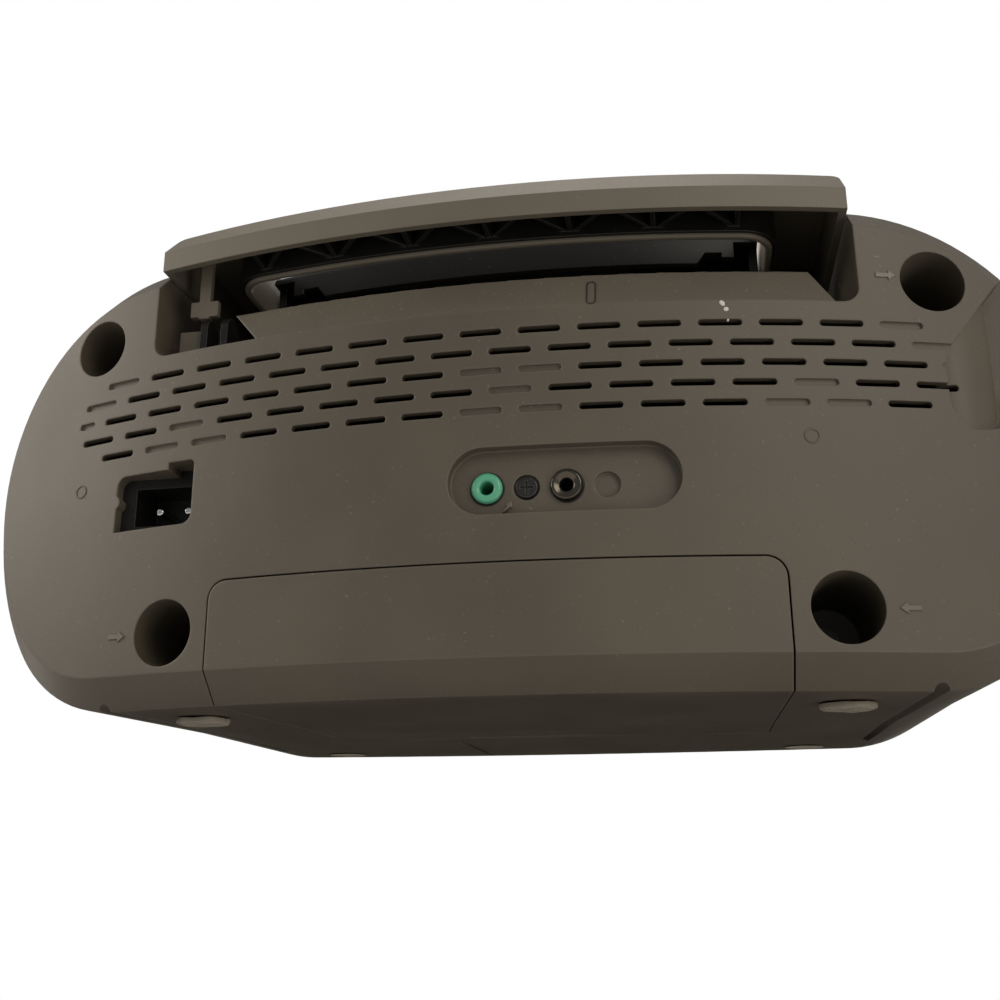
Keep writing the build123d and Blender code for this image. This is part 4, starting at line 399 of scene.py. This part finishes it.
# %% Lumps on the feet
lump_size = 0.006
lump_depth = 0.0008
feet = nodes["rubber_feet"]
remesh = feet.modifiers.new("even_points", "REMESH")
remesh.mode = "VOXEL"
remesh.voxel_size = 0.0005
remesh.use_smooth_shade = True
clouds = bpy.data.textures.new("silicone_lumps", "CLOUDS")
clouds.noise_scale = lump_size
slump = feet.modifiers.new("slumped", "DISPLACE")
slump.texture = clouds
slump.texture_coords = "LOCAL"
slump.mid_level = 1.0
slump.strength = lump_depth
rounding = feet.modifiers.new("rounded", "SMOOTH")
rounding.factor = 0.8
rounding.iterations = 8
print("feet:", feet.name, "lumps of", lump_size * 1000, "mm")

# %% [markdown]
# ## Helpers for small pieces
# The pieces below are skins stretched over loops of points. One helper lays a band of
# four-sided faces between each loop and the next. Another turns the finished form into a
# piece with its finish, and makes it ride on a body.

# %% Helpers for small pieces
def join_loops(form, loops):
    """Lays faces between each closed loop and the next one."""
    for low, high in zip(loops, loops[1:]):
        for i in range(len(low)):
            after = (i + 1) % len(low)
            form.faces.new((low[i], low[after], high[after], high[i]))


def add_piece(name, form, slot, body, finish=None, smooth=False):
    """Makes the form a piece of the scene, in the slot's own finish or a finer one."""
    bmesh.ops.recalc_face_normals(form, faces=form.faces)
    for face in form.faces:
        face.smooth = smooth
    mesh = bpy.data.meshes.new(name)
    form.to_mesh(mesh)
    form.free()
    mesh.materials.append(finishes[finish or slot])
    piece = bpy.data.objects.new(name, mesh)
    bpy.context.scene.collection.objects.link(piece)
    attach(piece, body)
    print(name, "faces:", len(mesh.polygons))


# %% [markdown]
# ## Moulded marks
# The tool leaves small marks on the back: round gate scars, arrows beside the screw wells
# and a capsule on the sill. They are raised by 0.2 to 0.3 millimetres, so each is built
# as a thin relief that follows the curved face. The face is part of an upright cylinder,
# which gives its depth at any x.

# %% Marks on the back
rear_radius = 0.3886
rear_axis_y = 0.1075 - rear_radius
sill_low = 0.1022
sill_half_width = 0.09
sill_slope = 5.2 / 11.2
recess_x, recess_z = -0.021, 0.0553
recess_half_length, recess_half_height = 0.026, 0.0085
recess_depth = 0.0035
mark_foot = -0.0002
mark_rise = 0.0002
arrow_rise = 0.0003


def rear_surface(x, z):
    """How far back the casing lies at x and z, with the leaning sill and the sunk recess."""
    inset = max(0.0, z - sill_low) * sill_slope if abs(x) < sill_half_width else 0.0
    if abs(x - recess_x) < recess_half_length and abs(z - recess_z) < recess_half_height:
        inset = recess_depth
    return rear_axis_y + math.sqrt((rear_radius - inset) ** 2 - x**2)


def placed(points, centre):
    """Moves points in millimetres to a centre in metres."""
    return [(centre[0] + u / 1000, centre[1] + v / 1000) for u, v in points]


def relief(name, outline, hole, rise, slot, finish=None):
    """A low relief on the back: an outline, with or without a hole, raised by rise."""
    form = bmesh.new()
    loops = []
    for loop, height in ((outline, mark_foot), (outline, rise), (hole, rise), (hole, mark_foot)):
        if loop:
            loops.append([form.verts.new((x, rear_surface(x, z) + height, z)) for x, z in loop])
    join_loops(form, loops)
    if not hole:
        form.faces.new(loops[-1])
    add_piece(name, form, slot, "casing", finish)


def round_loop(radius, count=28):
    angles = [2 * math.pi * i / count for i in range(count)]
    return [(radius * math.cos(angle), radius * math.sin(angle)) for angle in angles]


def capsule_loop(width, height, count=12):
    """An upright capsule: a half circle on top, and one below, each of count steps."""
    loop = []
    for up in (1, -1):
        for i in range(count + 1):
            angle = math.pi * i / count + (0 if up > 0 else math.pi)
            loop.append((width / 2 * math.cos(angle),
                         up * (height - width) / 2 + width / 2 * math.sin(angle)))
    return loop


for name, place in (("gate_scar_left", (0.1209, 0.065)), ("gate_scar_right", (-0.083, 0.065))):
    relief(name, placed(round_loop(2.0), place), placed(round_loop(1.6), place),
           mark_rise, "cabinet_plastic")
# Painted shade: the capsule's ring is drawn in black plastic for the dark, shaded slot of the mark
capsule_place = (-0.0292, 0.1065)
relief("sill_capsule", placed(capsule_loop(2.6, 8.4), capsule_place),
       placed(capsule_loop(1.9, 7.7), capsule_place), mark_rise, "black_plastic")

# %% [markdown]
# The arrows point at the screw wells, and a smaller one at the screw between the sockets.
# They are drawn a shade paler than the face, as a painted highlight on their raised tops.

# %% Arrows
# Painted highlight: the arrows' finish is paler than the face, for the light on their raised tops
finishes["highlit_mark"] = moulded_plastic("highlit_mark_abs", "#706a5c", "#696256", 0.38, 0.6, 0.02)
arrow = [(-3.2, 0), (-0.9, 1.7), (-0.9, 0.7), (3.0, 0.7), (3.0, -0.7), (-0.9, -0.7), (-0.9, -1.7)]
for name, place, degrees, size in (
        ("arrow_upper", (-0.1057, 0.1102), 0, 0.85), ("arrow_lower", (-0.103, 0.0214), 180, 0.85),
        ("arrow_lower_left", (0.103, 0.0214), 0, 0.85),
        ("arrow_socket", (-0.0064, 0.0487), -60, 0.65)):
    cosine = math.cos(math.radians(degrees)) * size
    sine = math.sin(math.radians(degrees)) * size
    aimed = [(u * cosine - v * sine, u * sine + v * cosine) for u, v in arrow]
    relief(name, placed(aimed, place), [], arrow_rise, "cabinet_plastic", "highlit_mark")

# %% [markdown]
# ## Socket collars
# Each 3.5 mm socket ends in a collar that is moulded or turned round its bore. Round each
# collar lies a thin black ring, painted shade for the dark gap round the socket. A collar is
# a profile turned round the bore's axis: the green one is a round bead, and the other a
# dished ring of black nickel, worn shiny.

# %% Collars round the sockets
finishes["black_nickel"] = metal("black_nickel", "#5a554d", 0.2, 0.5, 0.003)
socket_height = 0.054
bushing_stand = 0.001
ring_steps = 48


def turned_ring(name, x, foot, profile, slot, finish=None):
    """Turns a profile of (radius, stand) in millimetres round a socket's axis, along y."""
    form = bmesh.new()
    rings = []
    for radius, stand in profile:
        circle = placed(round_loop(radius, ring_steps), (x, socket_height))
        rings.append([form.verts.new((u, foot + stand / 1000, v)) for u, v in circle])
    join_loops(form, rings)
    add_piece(name, form, slot, "casing", finish, smooth=True)


round_bead = [(1.82, -0.1), (1.85, 0.15), (2.1, 0.45), (2.6, 0.62), (3.1, 0.6), (3.6, 0.4),
              (3.9, 0.1), (3.98, -0.3)]
dished_ring = [(1.82, -0.1), (2.0, 0.1), (2.3, 0.18), (3.0, 0.5), (3.4, 0.62), (3.75, 0.55),
               (3.95, 0.3), (3.98, -0.3)]
# A thin black ring round each collar: painted shade for the dark gap round the socket
shade_ring_profile = [(3.9, -0.1), (3.95, 0.18), (4.35, 0.18), (4.5, 0.05), (4.5, -0.1)]
for name, x, profile, slot, finish in (
        ("headphone", -0.0012, round_bead, "green_plastic", None),
        ("audio_in", -0.0215, dished_ring, "black_steel", "black_nickel")):
    recess_floor = rear_surface(x, socket_height)
    turned_ring(name + "_collar", x, recess_floor + bushing_stand, profile, slot, finish)
    turned_ring(name + "_shade_ring", x, recess_floor, shade_ring_profile, "black_plastic")

# %% [markdown]
# ## Flecks
# Three drops of pale paint have dried on the sill's edge. Each is a low dome with an
# uneven rim: rings of points whose radius wanders, a little longer upright than across,
# and closed by a small face in the middle.

# %% Flecks on the sill
fleck_steps = 20
fleck_rise = 0.00015
run_down = 1.3


def fleck(name, place, radius, start):
    """A dried drop: its rim wanders by about a quarter, and its middle stands proud."""
    form = bmesh.new()
    rings = []
    for share, height in ((1.0, -0.0001), (0.8, fleck_rise * 0.7), (0.4, fleck_rise)):
        ring = []
        for i in range(fleck_steps):
            angle = 2 * math.pi * i / fleck_steps
            wander = 1 + 0.18 * math.sin(2 * angle + start) + 0.1 * math.sin(5 * angle + 2 * start)
            x = place[0] + share * radius * wander * math.cos(angle)
            z = place[1] + share * radius * wander * math.sin(angle) * run_down
            ring.append(form.verts.new((x, rear_surface(x, z) + height, z)))
        rings.append(ring)
    join_loops(form, rings)
    form.faces.new(rings[-1])
    add_piece(name, form, "white_plastic", "casing", smooth=True)


for name, place, radius, start in (("paint_fleck_1", (-0.0629, 0.1014), 0.0007, 0.4),
                                   ("paint_fleck_2", (-0.0638, 0.0997), 0.0006, 1.7),
                                   ("paint_fleck_3", (-0.0641, 0.0966), 0.0003, 2.9)):
    fleck(name, place, radius, start)

# %% [markdown]
# ## Grip of the knobs
# A turning knob is moulded with fine ribs for the fingertips. Forty-four of them stand a
# third of a millimetre proud of each knob's tapered side. The joint that turns the knob
# gives the axis, so the ribs are laid round it and ride with the knob.

# %% Ribs round the knobs
knob_radius = 0.011
knob_gap = 0.0006
knob_taper = 0.0008 / 0.009
rib_count = 44
rib_half_width = 0.0004
rib_rise = 0.00033
rib_root = 0.0003


def ribbed_grip(name, joint):
    """Ribs along a knob's side, laid round the axis of the joint that turns it."""
    row = next(row for row in frame["joints"] if row["name"] == joint)
    centre, inward = Vector(row["pos_m"]), Vector(row["axis"]).normalized()
    level = Vector((1, 0, 0))
    upright = inward.cross(level)
    form = bmesh.new()
    for i in range(rib_count):
        angle = 2 * math.pi * i / rib_count
        outward = math.cos(angle) * level + math.sin(angle) * upright
        across = (math.cos(angle) * upright - math.sin(angle) * level) * rib_half_width
        sections = []
        # How far in front of the panel each section stands, and how far it stands proud
        for depth, rise in ((0.0014, 0.0), (0.0020, rib_rise), (0.0086, rib_rise), (0.0092, 0.0)):
            radius = knob_radius - knob_taper * (depth - knob_gap)
            base = centre - inward * depth + outward * (radius - rib_root)
            crest = centre - inward * depth + outward * (radius + rise)
            sections.append([form.verts.new(point) for point in (
                base - across, crest - across * 0.6, crest + across * 0.6, base + across)])
        join_loops(form, sections)
        form.faces.new(sections[0])
        form.faces.new(sections[-1])
    add_piece(name, form, "button_plastic", row["child"])


ribbed_grip("volume_knob_ribs", "volume_turn")
ribbed_grip("tuning_knob_ribs", "tuning_turn")
